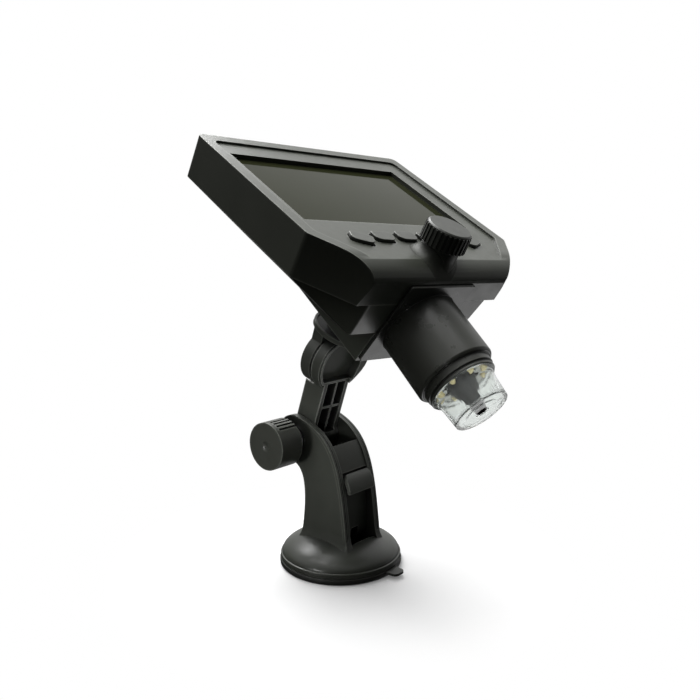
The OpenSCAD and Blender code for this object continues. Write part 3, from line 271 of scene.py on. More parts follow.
# the arm's paler edge colour is a stronger painted highlight on its rib and cup edges
ARM = moulded("arm_plastic", (0.052, 0.056, 0.047), (0.062, 0.066, 0.056), 0.33,
              edge_highlight=(0.40, 0.41, 0.38), crevice_shade=CREVICE_SHADE_DARKER)
TUBE = moulded("tube_plastic", (0.035, 0.037, 0.031), (0.041, 0.043, 0.0365), 0.30,
               spec=0.42, edge_highlight=(0.10, 0.105, 0.092), crevice_shade=CREVICE_SHADE_DARKEST)
DARK = moulded("dark_plastic", (0.044, 0.047, 0.039), (0.052, 0.0555, 0.0465), 0.40, edge_highlight=EDGE_HIGHLIGHT, crevice_shade=CREVICE_SHADE)
GRIP = moulded("grip_plastic", (0.032, 0.034, 0.029), (0.040, 0.0425, 0.036), 0.40,
               spec=0.4, crevice_shade=CREVICE_SHADE_DARKEST, reach=0.0016)
BARREL = moulded("barrel_plastic", (0.004, 0.004, 0.004), (0.008, 0.008, 0.0075), 0.5, spec=0.25)
RUBBER = moulded("foot_rubber", (0.026, 0.0275, 0.024), (0.034, 0.036, 0.0315), 0.52, 1500.0, 0.00003, 0.4,
                 edge_highlight=(0.08, 0.084, 0.075), crevice_shade=CREVICE_SHADE)
KEYMAT = moulded("key_mat", (0.16, 0.165, 0.165), (0.19, 0.195, 0.195), 0.6)
STEEL = metal("zinc_steel", (0.50, 0.50, 0.52), (0.62, 0.62, 0.64), 0.32)
BRASS = metal("turned_brass", (0.62, 0.45, 0.20), (0.75, 0.58, 0.28), 0.30)
TIN = metal("tinplate", (0.48, 0.48, 0.50), (0.58, 0.58, 0.60), 0.35)
FOIL = metal("pouch_foil", (0.60, 0.61, 0.63), (0.70, 0.71, 0.73), 0.38)
GREEN = board("solder_mask", (0.010, 0.090, 0.035), (0.018, 0.130, 0.050))
WHITE = board("lamp_mask", (0.62, 0.62, 0.60), (0.72, 0.72, 0.70))
AMBER = moulded("polyimide", (0.42, 0.17, 0.03), (0.50, 0.22, 0.05), 0.3)
CHIP = moulded("sensor_chip", (0.02, 0.022, 0.026), (0.03, 0.032, 0.036), 0.15)
LAMP = moulded("lamp_phosphor", (0.90, 0.74, 0.34), (0.97, 0.86, 0.52), 0.2)
SCREEN = moulded("screen_cover", (0.0165, 0.0183, 0.0080), (0.0185, 0.0203, 0.0095), 0.06,
                 POLISHED, POLISH_DEPTH, 0.055)
LENS = moulded("coated_lens", (0.004, 0.004, 0.007), (0.006, 0.006, 0.010), 0.04,
               POLISHED, POLISH_DEPTH / 4, 0.8)
CAP = glass("clear_cap", (0.88, 0.91, 0.89), 0.12, 1.32, 0.965)

# finish of each CAD node, and how far its edges are softened, in mm
FINISH = {
    "suction_cup": (RUBBER, 0.25), "stand_base": (STAND, 0.35), "lever_pin": (STEEL, 0.15),
    "clamp_nut": (STEEL, 0.2), "suction_stud": (STEEL, 0.15), "suction_lever": (STAND, 0.35),
    "lever_cam": (BRASS, 0.15), "clamp_knob": (DARK, 0.3), "clamp_bolt": (STEEL, 0.2),
    "clamp_washer": (STEEL, 0.15), "swing_arm": (ARM, 0.4), "mount_plate": (STAND, 0.3),
    "hinge_bolt": (STEEL, 0.2), "hinge_nut": (STEEL, 0.2), "mount_stud": (STEEL, 0.15),
    "mount_pad": (RUBBER, 0.15), "front_shell": (SHELL, 0.35), "rear_cover": (SHELL, 0.35),
    "screen_glass": (SCREEN, 0.0), "lcd_module": (TIN, 0.0), "lcd_ribbon": (AMBER, 0.0),
    "main_board": (GREEN, 0.0), "key_switches": (DARK, 0.0), "key_pad": (KEYMAT, 0.0),
    "battery": (FOIL, 0.0), "usb_socket": (STEEL, 0.0), "card_slot": (STEEL, 0.0),
    "tripod_insert": (BRASS, 0.0), "case_screws": (STEEL, 0.1), "board_screws": (STEEL, 0.0),
    "tube_housing": (TUBE, 0.3), "guide_sleeve": (DARK, 0.0), "nose_ring": (TUBE, 0.2),
    "led_board": (WHITE, 0.0), "leds": (LAMP, 0.0), "clear_cap": (CAP, 0.0),
    "focus_knob": (GRIP, 0.2), "focus_shaft": (STEEL, 0.0), "focus_pinion": (BRASS, 0.0),
    "shaft_clip": (STEEL, 0.0), "lens_barrel": (BARREL, 0.0), "objective_lens": (LENS, 0.0),
    "sensor_board": (GREEN, 0.0), "image_sensor": (CHIP, 0.0), "sensor_ribbon": (AMBER, 0.0),
}
for k in range(1, 7):
    FINISH["key_%d" % k] = (DARK, 0.35)


# points closer than WELD metres are one, and faces of a CAD node that differ by less than FLAT are joined
WELD, FLAT = 0.000005, math.radians(0.6)


def soften(ob, mat, width, angle, flatten=False):
    """Material, smooth shading, and edges sharper than an angle softened over a width in mm."""
    ob.data.materials.clear()
    ob.data.materials.append(mat)
    for p in ob.data.polygons:
        p.material_index = 0
        p.use_smooth = True
    w = ob.modifiers.new("weld", "WELD")
    w.merge_threshold = WELD
    if flatten:
        d = ob.modifiers.new("flat", "DECIMATE")
        d.decimate_type = "DISSOLVE"
        d.angle_limit = FLAT
    if width:
        b = ob.modifiers.new("edges", "BEVEL")
        b.width = width * MM
        b.segments = 3
        b.limit_method = "ANGLE"
        b.angle_limit = math.radians(angle)
        b.miter_outer = "MITER_ARC"
    n = ob.modifiers.new("shade", "WEIGHTED_NORMAL")
    n.keep_sharp = False
    n.weight = 80


for node, (mat, width) in FINISH.items():
    soften(NODES[node], mat, width, 32, flatten=True)


# ---------------------------------------------------------------- mesh building, in millimetres

def solid(name, bm):
    """Object made from a bmesh, with its faces turned outward."""
    bmesh.ops.recalc_face_normals(bm, faces=bm.faces)
    me = bpy.data.meshes.new(name)
    bm.to_mesh(me)
    bm.free()
    ob = bpy.data.objects.new(name, me)
    scene.collection.objects.link(ob)
    return ob


def extrude(name, pts, a, b, axis):
    """Closed outline pushed along an axis; its two numbers are the other two axes in order."""
    def at(p, t):
        return {"x": (t, p[0], p[1]), "y": (p[0], t, p[1]), "z": (p[0], p[1], t)}[axis]
    bm = bmesh.new()
    lo = [bm.verts.new(at(p, a)) for p in pts]
    hi = [bm.verts.new(at(p, b)) for p in pts]
    bm.faces.new(lo)
    bm.faces.new(hi[::-1])
    for i in range(len(pts)):
        j = (i + 1) % len(pts)
        bm.faces.new((lo[i], lo[j], hi[j], hi[i]))
    return solid(name, bm)


def lathe(name, prof, n, axis="z"):
    """Closed outline of (radius, height) turned about an axis."""
    bm = bmesh.new()
    rings = []
    for r, h in prof:
        pts = []
        for k in range(n if r > 1e-6 else 1):
            t = 2 * math.pi * k / n
            c, s = r * math.cos(t), r * math.sin(t)
            pts.append(bm.verts.new({"z": (c, s, h), "x": (h, c, s), "y": (s, h, c)}[axis]))
        rings.append(pts)
    for i in range(len(rings)):
        a, b = rings[i], rings[(i + 1) % len(rings)]
        for k in range(n):
            q = [a[k % len(a)], a[(k + 1) % len(a)], b[(k + 1) % len(b)], b[k % len(b)]]
            q = [v for m, v in enumerate(q) if v not in q[:m]]
            if len(q) > 2 and not (len(a) == 1 and len(b) == 1):
                bm.faces.new(q)
    return solid(name, bm)


def rod(name, r, a, b, n, axis="z"):
    """Plain cylinder from a to b along an axis."""
    return lathe(name, [(0, a), (r, a), (r, b), (0, b)], n, axis)


def loft(name, rows):
    """Skin over closed rings of equal length, capped at both ends."""
    bm = bmesh.new()
    rings = [[bm.verts.new(p) for p in row] for row in rows]
    for a, b in zip(rings, rings[1:]):
        for i in range(len(a)):
            j = (i + 1) % len(a)
            bm.faces.new((a[i], a[j], b[j], b[i]))
    bm.faces.new(rings[0])
    bm.faces.new(rings[-1][::-1])
    return solid(name, bm)


def carve(ob, tool, op="DIFFERENCE"):
    """Cuts a closed mesh with another, which is used up."""
    m = ob.modifiers.new("cut", "BOOLEAN")
    m.operation = op
    m.solver = "EXACT"
    m.object = tool
    me = bpy.data.meshes.new_from_object(ob.evaluated_get(bpy.context.evaluated_depsgraph_get()))
    ob.modifiers.clear()
    old = ob.data
    ob.data = me
    bpy.data.meshes.remove(old)
    bpy.data.objects.remove(tool)
    return ob


def join(ob, tool):
    return carve(ob, tool, "UNION")


def common(ob, tool):
    return carve(ob, tool, "INTERSECT")


def move(ob, m):
    """Moves a mesh's own points, before it is joined to another or cut from it."""
    ob.data.transform(m)
    return ob


def place(ob, mat, body, width, *nodes, frame=Matrix.Identity(4), slot=None, angle=30):
    """Puts a piece made in millimetres in its place, softens its edges and lets it ride."""
    ob.data.transform(Matrix.Scale(MM, 4) @ frame)
    soften(ob, mat, width, angle)
    if nodes:
        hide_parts(*nodes)
    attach(ob, body)


def bezier(p, n):
    """n + 1 points along the cubic curve with four control points."""
    out = []
    for k in range(n + 1):
        t = k / n
        c = ((1 - t) ** 3, 3 * t * (1 - t) ** 2, 3 * t * t * (1 - t), t ** 3)
        out.append((sum(c[i] * p[i][0] for i in range(4)), sum(c[i] * p[i][1] for i in range(4))))
    return out


def arc(cx, cy, r, a0, a1, n):
    """n + 1 points along an arc, between two angles in degrees."""
    return [(cx + r * math.cos(math.radians(a0 + (a1 - a0) * k / n)),
             cy + r * math.sin(math.radians(a0 + (a1 - a0) * k / n))) for k in range(n + 1)]


def rounded(pts, radii, n=5):
    """Outline with its corners rounded, each by its own radius."""
    if not isinstance(radii, (list, tuple)):
        radii = [radii] * len(pts)
    out = []
    m = len(pts)
    for i, p in enumerate(pts):
        p = Vector(p)
        a = (Vector(pts[i - 1]) - p).normalized()
        b = (Vector(pts[(i + 1) % m]) - p).normalized()
        r = radii[i]
        half = math.acos(max(-1.0, min(1.0, a.dot(b)))) / 2
        c = p + (a + b).normalized() * r / math.sin(half)
        s = p + a * r / math.tan(half) - c
        e = p + b * r / math.tan(half) - c
        s0 = math.atan2(s.y, s.x)
        turn = (math.atan2(e.y, e.x) - s0 + 3 * math.pi) % (2 * math.pi) - math.pi
        out += [(c.x + r * math.cos(s0 + turn * k / n), c.y + r * math.sin(s0 + turn * k / n))
                for k in range(n + 1)]
    return out


def shift(pts, dx, dy):
    return [(x + dx, y + dy) for x, y in pts]


def rect(x0, y0, x1, y1):
    return [(x0, y0), (x1, y0), (x1, y1), (x0, y1)]


# ---------------------------------------------------------------- foot and stand

PIVOT_Y, PIVOT_Z = 19.0, 59.0
AT_PIVOT = Matrix.Translation((0, PIVOT_Y, PIVOT_Z))
AT_LEVER = Matrix.Translation((0, 1, 18))
FOOT_R, FOOT_T = 29.1, 3.0
STAND_R = FOOT_R - 0.4
DOME_R, DOME_Z, DOME_RISE = 28.0, 5.5, 9.0
CHEEK_OUT, CHEEK_IN = 11.7, 8.7
# side curves of the cheeks, as (y, z), and the ends of the round boss that joins them
FRONT_CURVE = [(-15, 7.5), (-11, 49.6), (-8.4, 64.5), (17.8, 70.4)]
BACK_CURVE = [(19, 47.5), (8.5, 44), (13, 22.5), (15.3, 7.5)]
FRONT = bezier(FRONT_CURVE, 44)
BACK = bezier(BACK_CURVE, 30)
BOSS_R, BOSS_FROM, BOSS_TO = 11.5, 95.5, -89.5
# how far the root flares at the dome, where it starts, and how high it fades out
FLARE, ROOT_Z, ROOT_H, ROOT_STEPS = 5.2, 7.6, 12.4, 18
# front web and rear wall between the cheeks
WEB_Z0, WEB_Z1, WEB_INSET, WEB_BACK = 45.8, 58.6, 0.7, 3.8
REAR_TOP, REAR_T = 35.5, 2.2
# raised line along each cheek's front edge, and the line cut into its front face
LINE_W, LINE_STEP = 1.7, 0.3
CUT_DEPTH, CUT_OUT, CUT_IN = 0.35, 0.8, 1.3
# bores of the lever's pin, the clamp bolt and the foot's stud, the clamp nut's pocket, the membrane's room
PIN_BORE, BOLT_BORE, STUD_BORE = 1.52, 2.55, 2.15
NUT_R, NUT_SEAT = 4.62, 9.7
ROOM_R, ROOM_TOP = 22, 6.6


def foot():
    """Rubber ring with its thin membrane and a pull tab."""
    ring = [(0, 0.5), (21, 0.5), (23.5, 0), (27.6, 0), (28.6, 0.15), (29.0, 0.6), (FOOT_R, 1.2),
            (FOOT_R, 2.2), (28.95, 2.7), (28.4, FOOT_T), (24.1, FOOT_T), (22.6, 2.2), (0, 2.2)]
    ob = lathe("foot_ring", ring, 128)
    tab_in, tab_out = -26, -34.4
    tab = rounded([(-1.3, tab_in), (7.3, tab_in), (6.3, tab_out), (-0.3, tab_out)], [0.5, 0.5, 2.2, 2.2])
    join(ob, extrude("tab", tab, 1.6, 2.8, "z"))
    place(ob, RUBBER, "base", 0.25, "suction_cup", slot="rubber")


def strip(a, b, z0=-99.0, z1=99.0):
    """Band along the cheeks' front edge, between two depths and two heights; its back lies a little lower."""
    pts = [p for p in FRONT if z0 <= p[1] <= z1]
    return shift(pts, a, -a / 3) + shift(pts, b, -b / 3)[::-1]


def depth_at(curve, z):
    """Where a cheek's side curve is at a height."""
    return min(curve, key=lambda p: abs(p[1] - z))[0]


def flared_root():
    """Foot of the cheeks, faired into the dome; a hair smaller than the cheeks where it fades out."""
    front, back = bezier(FRONT_CURVE, 400), bezier(BACK_CURVE, 400)
    rows = []
    for k in range(ROOT_STEPS + 1):
        t = 1 - k / ROOT_STEPS
        f = FLARE * t ** 3.0 - 0.02
        z = ROOT_Z + ROOT_H * (1 - t)
        outline = rect(-CHEEK_OUT - f, depth_at(front, z) - f, CHEEK_OUT + f, depth_at(back, z) + f)
        rows.append([(x, y, z) for x, y in rounded(outline, 0.2 + f, 6)])
    return loft("root", rows)


def both_sides(ob, cut, name, outline, a, b):
    """Joins to both cheeks, or cuts from them, a strip between two distances from the middle."""
    for s in (-1, 1):
        lo, hi = sorted((s * a, s * b))
        cut(ob, extrude(name, outline, lo, hi, "x"))


def stand():
    """Domed foot cover with two cheeks, open between them but for the front web and the rear wall."""
    dome = [(DOME_R * math.cos(math.radians(a)), DOME_Z + DOME_RISE * math.sin(math.radians(a)))
            for a in range(0, 90, 3)]
    prof = [(0, ROOM_TOP), (ROOM_R, ROOM_TOP), (ROOM_R, FOOT_T), (STAND_R - 0.2, FOOT_T),
            (STAND_R, FOOT_T + 0.2), (STAND_R, DOME_Z - 0.5), (STAND_R - 0.15, DOME_Z - 0.2)]
    ob = lathe("stand_shell", prof + dome + [(0, DOME_Z + DOME_RISE)], 128)
    boss = arc(PIVOT_Y, PIVOT_Z, BOSS_R, BOSS_FROM, BOSS_TO, 48)
    cheeks = extrude("cheeks", FRONT[:-1] + boss + BACK[1:], -CHEEK_OUT, CHEEK_OUT, "x")
    body = join(flared_root(), cheeks)
    both_sides(body, join, "line", strip(0.0, LINE_W), CHEEK_OUT - LINE_STEP, CHEEK_OUT + LINE_STEP)
    # slot between the cheeks
    slot = extrude("slot", rect(-60, DOME_Z, 60, 120), -CHEEK_IN, CHEEK_IN, "x")
    web = [p for p in FRONT if WEB_Z0 <= p[1] <= WEB_Z1]
    carve(slot, extrude("web", shift(web, WEB_INSET, 0) + shift(web, WEB_BACK, -1.0)[::-1], -20, 20, "x"))
    rear = [p for p in BACK if p[1] <= REAR_TOP]
    carve(slot, extrude("rear", rear + shift(rear, -REAR_T, 0)[::-1], -20, 20, "x"))
    carve(body, slot)
    groove = strip(-1.0, CUT_DEPTH, 14.0, 69.0)
    both_sides(body, carve, "groove", groove, CHEEK_OUT - CUT_IN, CHEEK_OUT - CUT_OUT)
    join(ob, body)
    # room for the lever's hub, the stud and the membrane, then the bores
    carve(ob, extrude("pocket", rect(-13.5, 7.8, 12, 16), -CHEEK_IN, CHEEK_IN, "x"))
    carve(ob, rod("bore", STUD_BORE, 2, 16, 32))
    carve(ob, rod("membrane_room", ROOM_R, 2, ROOM_TOP, 96))
    carve(ob, move(rod("pin_bore", PIN_BORE, -10.9, 13, 32, "x"), AT_LEVER))
    carve(ob, move(rod("bolt_bore", BOLT_BORE, -13, 13, 32, "x"), AT_PIVOT))
    carve(ob, move(extrude("nut", arc(0, 0, NUT_R, 0, 300, 5), NUT_SEAT, 13, "x"), AT_PIVOT))
    place(ob, STAND, "base", 0.3, "stand_base", slot="body_plastic")


# top and half width of the lever, above and beside its pin
LEVER_TOP, LEVER_HALF = 28.0, CHEEK_IN - 0.3
HUB_R, NOSE_R, PIN_HOLE = 6, 9.8, 1.55
# lift of the stud, half the lever's swing, and the room for the stud's eye round the cam
CAM_LIFT, CAM_HALF = 1.8, math.radians(32.5)
EYE_R, EYE_HALF = 8.35, 2.4


def lever():
    """Suction lever: a plate with a curved lip that overhangs it, and the hub on its pin."""
    t, half = LEVER_TOP, LEVER_HALF
    plate = rounded([(-9.75, 1), (-9.4, t - 9.0), (-9.4, t - 1.2), (-8.2, t - 1.2), (-6.5, t - 9),
                     (-6.5, 6.5), (0.5, 5.9), (0.5, -5.9), (-7.4, -6.3)],
                    [0.5, 0.3, 0.4, 0.4, 2, 1.5, 0.05, 0.05, 0.3], 4)
    ob = extrude("plate", plate, -half, half, "x")
    side = rounded([(-9, -9), (9, -9), (9, t - 1), (-half, t - 1), (-half, -8)], [0.2, 0.2, 0.2, 3.6, 0.2], 8)
    common(ob, extrude("plate_side", side, -20, 4, "y"))
    join(ob, rod("hub", HUB_R, -half, half, 64, "x"))
    nose = rod("nose", NOSE_R, -half, half, 96, "x")
    common(nose, extrude("nose_box", rect(-12, -6.3, -3, 2), -9, 9, "x"))
    join(ob, nose)
    # lip: rises from the plate, leans out and ends in a free lower edge
    face = bezier([(-14.6, t - 8.3), (-14.5, t - 5.2), (-13.6, t - 1.4), (-10.2, t - 0.05)], 14)
    back = bezier([(-8.9, t - 1.6), (-12.0, t - 3.4), (-13.0, t - 5.8), (-13.4, t - 8.2)], 12)
    lip = extrude("lip", face + back, -9, 9, "x")
    side = rounded(rect(-half, t - 12, half, t + 0.3), [0.3, 0.3, 1.4, 3.8], 8)
    common(lip, extrude("lip_side", side, -20, 0, "y"))
    root = [(-9.6, t - 3.2), (-8.2, t - 3.2), (-8.2, t - 1.0), (-9.6, t - 1.0), (-11.5, t - 2.0)]
    join(lip, extrude("lip_root", root, -half + 1.2, half, "x"))
    join(ob, lip)
    carve(ob, rod("pin_hole", PIN_HOLE, -12, 12, 32, "x"))
    throw = CAM_LIFT / (2 * math.sin(CAM_HALF))
    at_eye = Matrix.Translation((0, throw * math.cos(CAM_HALF), -throw * math.sin(CAM_HALF)))
    carve(ob, move(rod("eye_room", EYE_R, -EYE_HALF, EYE_HALF, 64, "x"), at_eye))
    carve(ob, extrude("stud_room", rect(-12, -12, 7, 0.6), -EYE_HALF, EYE_HALF, "x"))
    place(ob, LEVER_BRIGHTENED, "lever", 0.25, "suction_lever", frame=AT_LEVER, slot="body_plastic")


# clamp knob: where its face and its back are along the pivot, its collar, and its two grip patches
KNOB_R, KNOB_FACE, KNOB_BACK = 11.2, -30.0, -17.5
COLLAR_R, COLLAR_END, KNOB_BORE = 5.6, -13.0, 2.52
GRIP_GROOVES, GRIP_STEP, GRIP_TURN = 4, 11, 21


def clamp_knob():
    """Knob with a flat, dimpled face and two grooved grip patches."""
    face, back, bore_end = KNOB_FACE, KNOB_BACK, KNOB_FACE + 3
    dimple = [(0, face + 0.75), (1.2, face + 0.65), (2.1, face + 0.3), (2.7, face)]
    prof = [(KNOB_R, face), (KNOB_R, back), (COLLAR_R, back), (COLLAR_R, COLLAR_END), (KNOB_BORE, COLLAR_END),
            (KNOB_BORE, bore_end), (0, bore_end)]
    ob = lathe("knob", dimple + prof, 96, "x")
    groove = rounded([(-0.5, 10.3), (0.5, 10.3), (0.7, 12.0), (-0.7, 12.0)], [0.2, 0.2, 0.1, 0.1], 3)
    for patch in (0, 180):
        for k in range(GRIP_GROOVES):
            turn = patch + GRIP_TURN + GRIP_STEP * (k - 1.5)
            cut = extrude("cut", groove, face + 2.2, back + 0.8, "x")
            carve(ob, move(cut, Matrix.Rotation(math.radians(turn), 4, "X")))
    place(ob, DARK, "clamp", 0.3, "clamp_knob", frame=AT_PIVOT, slot="dark_plastic")


# ---------------------------------------------------------------- head

# the head's place on the arm, as in the CAD source
ARM_LEAN, HEAD_TILT, TUBE_TILT = map(math.radians, (18.8, 28.7, 12.5))
ARM_LEN, FACE_H, SWIVEL_TURN, SWIVEL_V = 40.35, 75.3, -5.6, 4.6
HINGE = (0, PIVOT_Y - ARM_LEN * math.sin(ARM_LEAN), PIVOT_Z + ARM_LEN * math.cos(ARM_LEAN))
HEAD = (Matrix.Translation(HINGE) @ Matrix.Rotation(HEAD_TILT, 4, "X") @ Matrix.Translation((0, 0, FACE_H))
        @ Matrix.Rotation(math.radians(SWIVEL_TURN), 4, "Z") @ Matrix.Translation((0, -SWIVEL_V, 0)))
# curve of the chin down to the tube's flange, the focus knob's neck, and the panel inside the raised rim
CHIN_START, CHIN_DEPTH, UNDER_A = 22.5, 8.7, 36.2
KNOB_V, NECK_R, PANEL_W = 25.2, 8.0, -1.0
# width of the knob's skirt above and below, and how much wider and narrower it is at left and right
SKIRT_W, SKIRT_LEFT, SKIRT_RIGHT = 2.5, 2.0, 1.4
# how far down the head it may reach, how deep it goes into the neck, and how far it stands off the panel
SKIRT_STOP, SKIRT_SINK, SKIRT_LIFT = 35.0, 0.6, 0.03


def chin_height(v):
    """Height of the panel, or of the chin where it curves away, above the head's origin plane."""
    low_v = (-UNDER_A + math.sin(TUBE_TILT) * CHIN_DEPTH) / math.cos(TUBE_TILT)
    rise = -CHIN_START - low_v
    if v > -CHIN_START:
        return 0.0
    k = min(1.0, (-CHIN_START - v) / rise)
    return -CHIN_DEPTH * (1 - math.sqrt(max(0.0, 1 - k * k)))


def knob_skirt():
    """Soft fillet between the focus knob's neck and the panel and chin around it."""
    around, across = 96, 10
    bm = bmesh.new()
    rows = []
    for j in range(around):
        t = 2 * math.pi * j / around
        c, s = math.cos(t), math.sin(t)
        v_end = -KNOB_V + NECK_R * s
        wide = SKIRT_W + SKIRT_LEFT * max(0.0, -c) - SKIRT_RIGHT * max(0.0, c)
        if s < 0:
            wide = min(wide, max(0.3, (v_end + SKIRT_STOP) / -s))
        row = []
        for i in range(across + 1):
            q = math.pi / 2 * i / across
            r = NECK_R + wide * (1 - math.cos(q))
            up = wide * (1 - math.sin(q))
            v = -KNOB_V + r * s
            base = min(PANEL_W, chin_height(v))
            row.append(bm.verts.new((r * c, v, base + up + SKIRT_LIFT)))
        rows.append(row)
    inner_r = NECK_R - SKIRT_SINK
    inner = []
    for row in rows:
        x, y, z = row[0].co
        inner.append(bm.verts.new((inner_r * x / NECK_R, -KNOB_V + (y + KNOB_V) * inner_r / NECK_R, z)))
    for j in range(around):
        nxt = (j + 1) % around
        a, b = rows[j], rows[nxt]
        for i in range(across):
            bm.faces.new((a[i], b[i], b[i + 1], a[i + 1]))
        bm.faces.new((inner[j], inner[nxt], b[0], a[0]))
    place(solid("knob_skirt", bm), FILLET_SHADED, "head", 0, frame=HEAD, slot="body_plastic")


# place and turn of each key, and the wide circle they sit on
KEY_AT = (-33.5, -20.5, -6.5, 6.5, 20.5, 33.5)
KEY_TURN = (-23, -3, -2, 2, 3, 23)
KEY_R, KEY_V = 215.0, -11.9
# half sizes of a key's cap and of the rim that holds it under the panel, and their heights
CAP_U, CAP_V, CAP_LOW, CAP_TOP = 5.25, 3.25, -3.3, 0.4
RIM_U, RIM_V, RIM_LOW, RIM_TOP = 6.05, 4.05, -3.8, -3.1


def keys():
    """Six keys, each with a straight upper edge and round lower corners."""
    cap = rounded(rect(-CAP_U, -CAP_V, CAP_U, CAP_V), [3.1, 3.1, 1.4, 1.4], 8)
    rim = rounded(rect(-RIM_U, -RIM_V, RIM_U, RIM_V), 1.6, 4)
    for k, (u, turn) in enumerate(zip(KEY_AT, KEY_TURN)):
        v = KEY_V - KEY_R + math.sqrt(KEY_R * KEY_R - u * u)
        at = HEAD @ Matrix.Translation((u, v, 0)) @ Matrix.Rotation(math.radians(turn), 4, "Z")
        ob = extrude("key_cap_%d" % (k + 1), cap, CAP_LOW, CAP_TOP, "z")
        join(ob, extrude("rim", rim, RIM_LOW, RIM_TOP, "z"))
        place(ob, DARK, "key_%d_body" % (k + 1), 0.4, "key_%d" % (k + 1), frame=at, slot="dark_plastic",
              angle=50)


foot()
stand()
lever()
clamp_knob()
knob_skirt()
keys()


# ---------------------------------------------------------------- floor and light

# radius, in metres, up to which the floor takes light, and from which it is plain white
LIT_R, WHITE_R = 0.02, 0.11


def floor():
    """Pale floor, lit near the object and as white as the backdrop further out."""
    bm = bmesh.new()
    bmesh.ops.create_grid(bm, x_segments=8, y_segments=8, size=20.0)
    me = bpy.data.meshes.new("floor")
    bm.to_mesh(me)
    bm.free()
    ob = bpy.data.objects.new("floor", me)
    scene.collection.objects.link(ob)
    m, nt, sh = new_mat("pale_floor")
    v = coords(nt)
    n = noise(nt, v, 30.0, 4.0)
    nt.links.new(ramp(nt, n, [(0.3, (0.90, 0.90, 0.90)), (0.7, (0.92, 0.92, 0.92))]), sh.inputs["Base Color"])
    sh.inputs["Roughness"].default_value = 0.9
    sh.inputs["Specular IOR Level"].default_value = 0.1
    far = nt.nodes.new("ShaderNodeVectorMath")
    far.operation = "LENGTH"
    nt.links.new(v, far.inputs[0])
    edge = nt.nodes.new("ShaderNodeMapRange")
    edge.inputs["From Min"].default_value = LIT_R
    edge.inputs["From Max"].default_value = WHITE_R
    nt.links.new(far.outputs["Value"], edge.inputs["Value"])
    glow = nt.nodes.new("ShaderNodeEmission")
    glow.inputs["Strength"].default_value = 1.0
    mix = nt.nodes.new("ShaderNodeMixShader")
    out = [k for k in nt.nodes if k.type == "OUTPUT_MATERIAL"][0]
    nt.links.new(edge.outputs["Result"], mix.inputs["Fac"])
    nt.links.new(sh.outputs["BSDF"], mix.inputs[1])
    nt.links.new(glow.outputs["Emission"], mix.inputs[2])
    nt.links.new(mix.outputs["Shader"], out.inputs["Surface"])
    me.materials.append(m)
    ob.visible_glossy = False
    ob.visible_diffuse = False


def softbox(name, at, aim, size, power, spread=180):
    """Rectangular lamp; its place and size are in metres, its spread in degrees."""
    li = bpy.data.lights.new(name, "AREA")
    li.shape = "RECTANGLE"
    li.size, li.size_y = size
    li.energy = power
    li.spread = math.radians(spread)
    ob = bpy.data.objects.new(name, li)
    scene.collection.objects.link(ob)
    at, aim = Vector(at), Vector(aim)
    ob.matrix_world = Matrix.Translation(at) @ (at - aim).to_track_quat("Z", "Y").to_matrix().to_4x4()


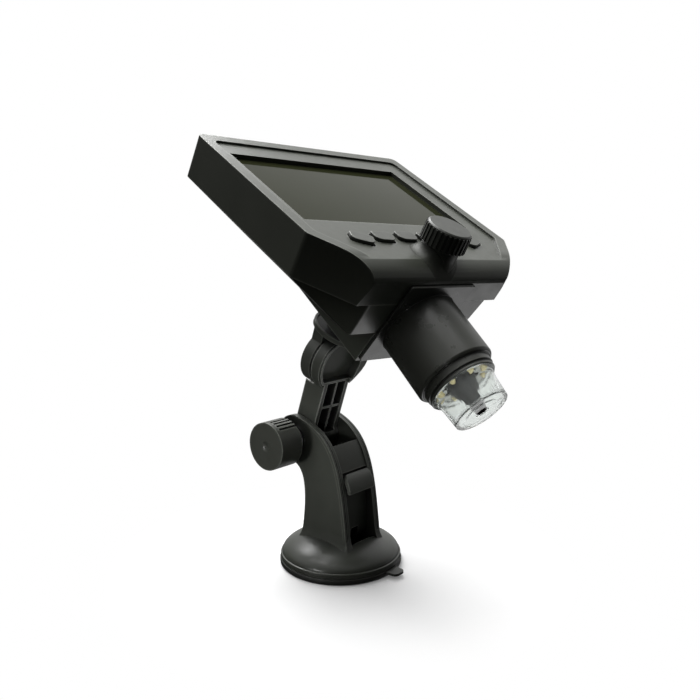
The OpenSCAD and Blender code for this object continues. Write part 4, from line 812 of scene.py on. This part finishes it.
def world():
    """Studio room for light and reflections; the camera sees plain white, also through the clear cap."""
    w = bpy.data.worlds.new("studio")
    scene.world = w
    w.use_nodes = True
    nt = w.node_tree
    nt.nodes.clear()
    out = nt.nodes.new("ShaderNodeOutputWorld")
    tc = nt.nodes.new("ShaderNodeTexCoord")
    sep = nt.nodes.new("ShaderNodeSeparateXYZ")
    nt.links.new(tc.outputs["Generated"], sep.inputs["Vector"])

    def levels(value, lo, hi, stops):
        """Brightness by stops along the range from lo to hi of a value."""
        r = nt.nodes.new("ShaderNodeMapRange")
        r.inputs["From Min"].default_value = lo
        r.inputs["From Max"].default_value = hi
        nt.links.new(value, r.inputs["Value"])
        return ramp(nt, r.outputs["Result"], [(p, (v, v, v)) for p, v in stops])

    def math_node(op, a, b):
        n = nt.nodes.new("ShaderNodeMath")
        n.operation = op
        for k, val in enumerate((a, b)):
            if isinstance(val, float):
                n.inputs[k].default_value = val
            else:
                nt.links.new(val, n.inputs[k])
        return n.outputs["Value"]

    def toward(a, part_a, b, part_b):
        """How much a ray points along a direction in the plane of two axes."""
        return math_node("ADD", math_node("MULTIPLY", sep.outputs[a], part_a),
                         math_node("MULTIPLY", sep.outputs[b], part_b))

    # dim below and bright overhead, but less in front of the object
    height = levels(sep.outputs["Z"], -1.0, 1.0,
                    [(0.0, 0.004), (0.42, 0.015), (0.52, 0.05), (0.66, 0.12), (0.80, 0.75), (1.0, 1.0)])
    front = levels(sep.outputs["Y"], -1.0, 1.0, [(0.15, 0.2), (0.6, 1.0)])
    height = math_node("MULTIPLY", height, front)
    # glowing wall on the object's right
    wall = levels(toward("X", 0.96, "Y", 0.28), 0.0, 1.0, [(0.3, 0.0), (0.85, 1.0)])
    band = levels(sep.outputs["Z"], -1.0, 1.0, [(0.34, 0.0), (0.46, 0.55), (0.75, 0.5), (0.85, 0.1)])
    glow = math_node("MULTIPLY", wall, band)
    # lit patch of floor, low on the object's right
    lit_floor = levels(toward("X", 0.65, "Z", -0.76), 0.0, 1.0, [(0.88, 0.0), (0.98, 1.0)])
    lit_floor = math_node("MULTIPLY", lit_floor, 1.3)
    room = nt.nodes.new("ShaderNodeBackground")
    nt.links.new(math_node("ADD", math_node("ADD", height, glow), lit_floor), room.inputs["Color"])
    seen = nt.nodes.new("ShaderNodeBackground")
    seen.inputs["Color"].default_value = (1.0, 1.0, 1.0, 1.0)
    lp = nt.nodes.new("ShaderNodeLightPath")
    mix = nt.nodes.new("ShaderNodeMixShader")
    nt.links.new(math_node("MAXIMUM", lp.outputs["Is Camera Ray"], lp.outputs["Is Transmission Ray"]),
                 mix.inputs["Fac"])
    nt.links.new(room.outputs["Background"], mix.inputs[1])
    nt.links.new(seen.outputs["Background"], mix.inputs[2])
    nt.links.new(mix.outputs["Shader"], out.inputs["Surface"])


scene.view_settings.view_transform = "Standard"
world()
floor()
softbox("over", (0.03, 0.12, 1.15), (0, 0, 0.1), (0.72, 0.72), 13.8)
softbox("back", (0.30, 0.60, 1.00), (0, 0, 0.1), (0.6, 0.6), 9.0)
softbox("left", (-0.75, 0.05, 0.05), (0, 0.01, 0.045), (0.12, 0.08), 0.0125, 9)
softbox("front", (-0.62, -0.62, 0.03), (0, 0, 0.085), (0.08, 0.06), 0.0055, 7)
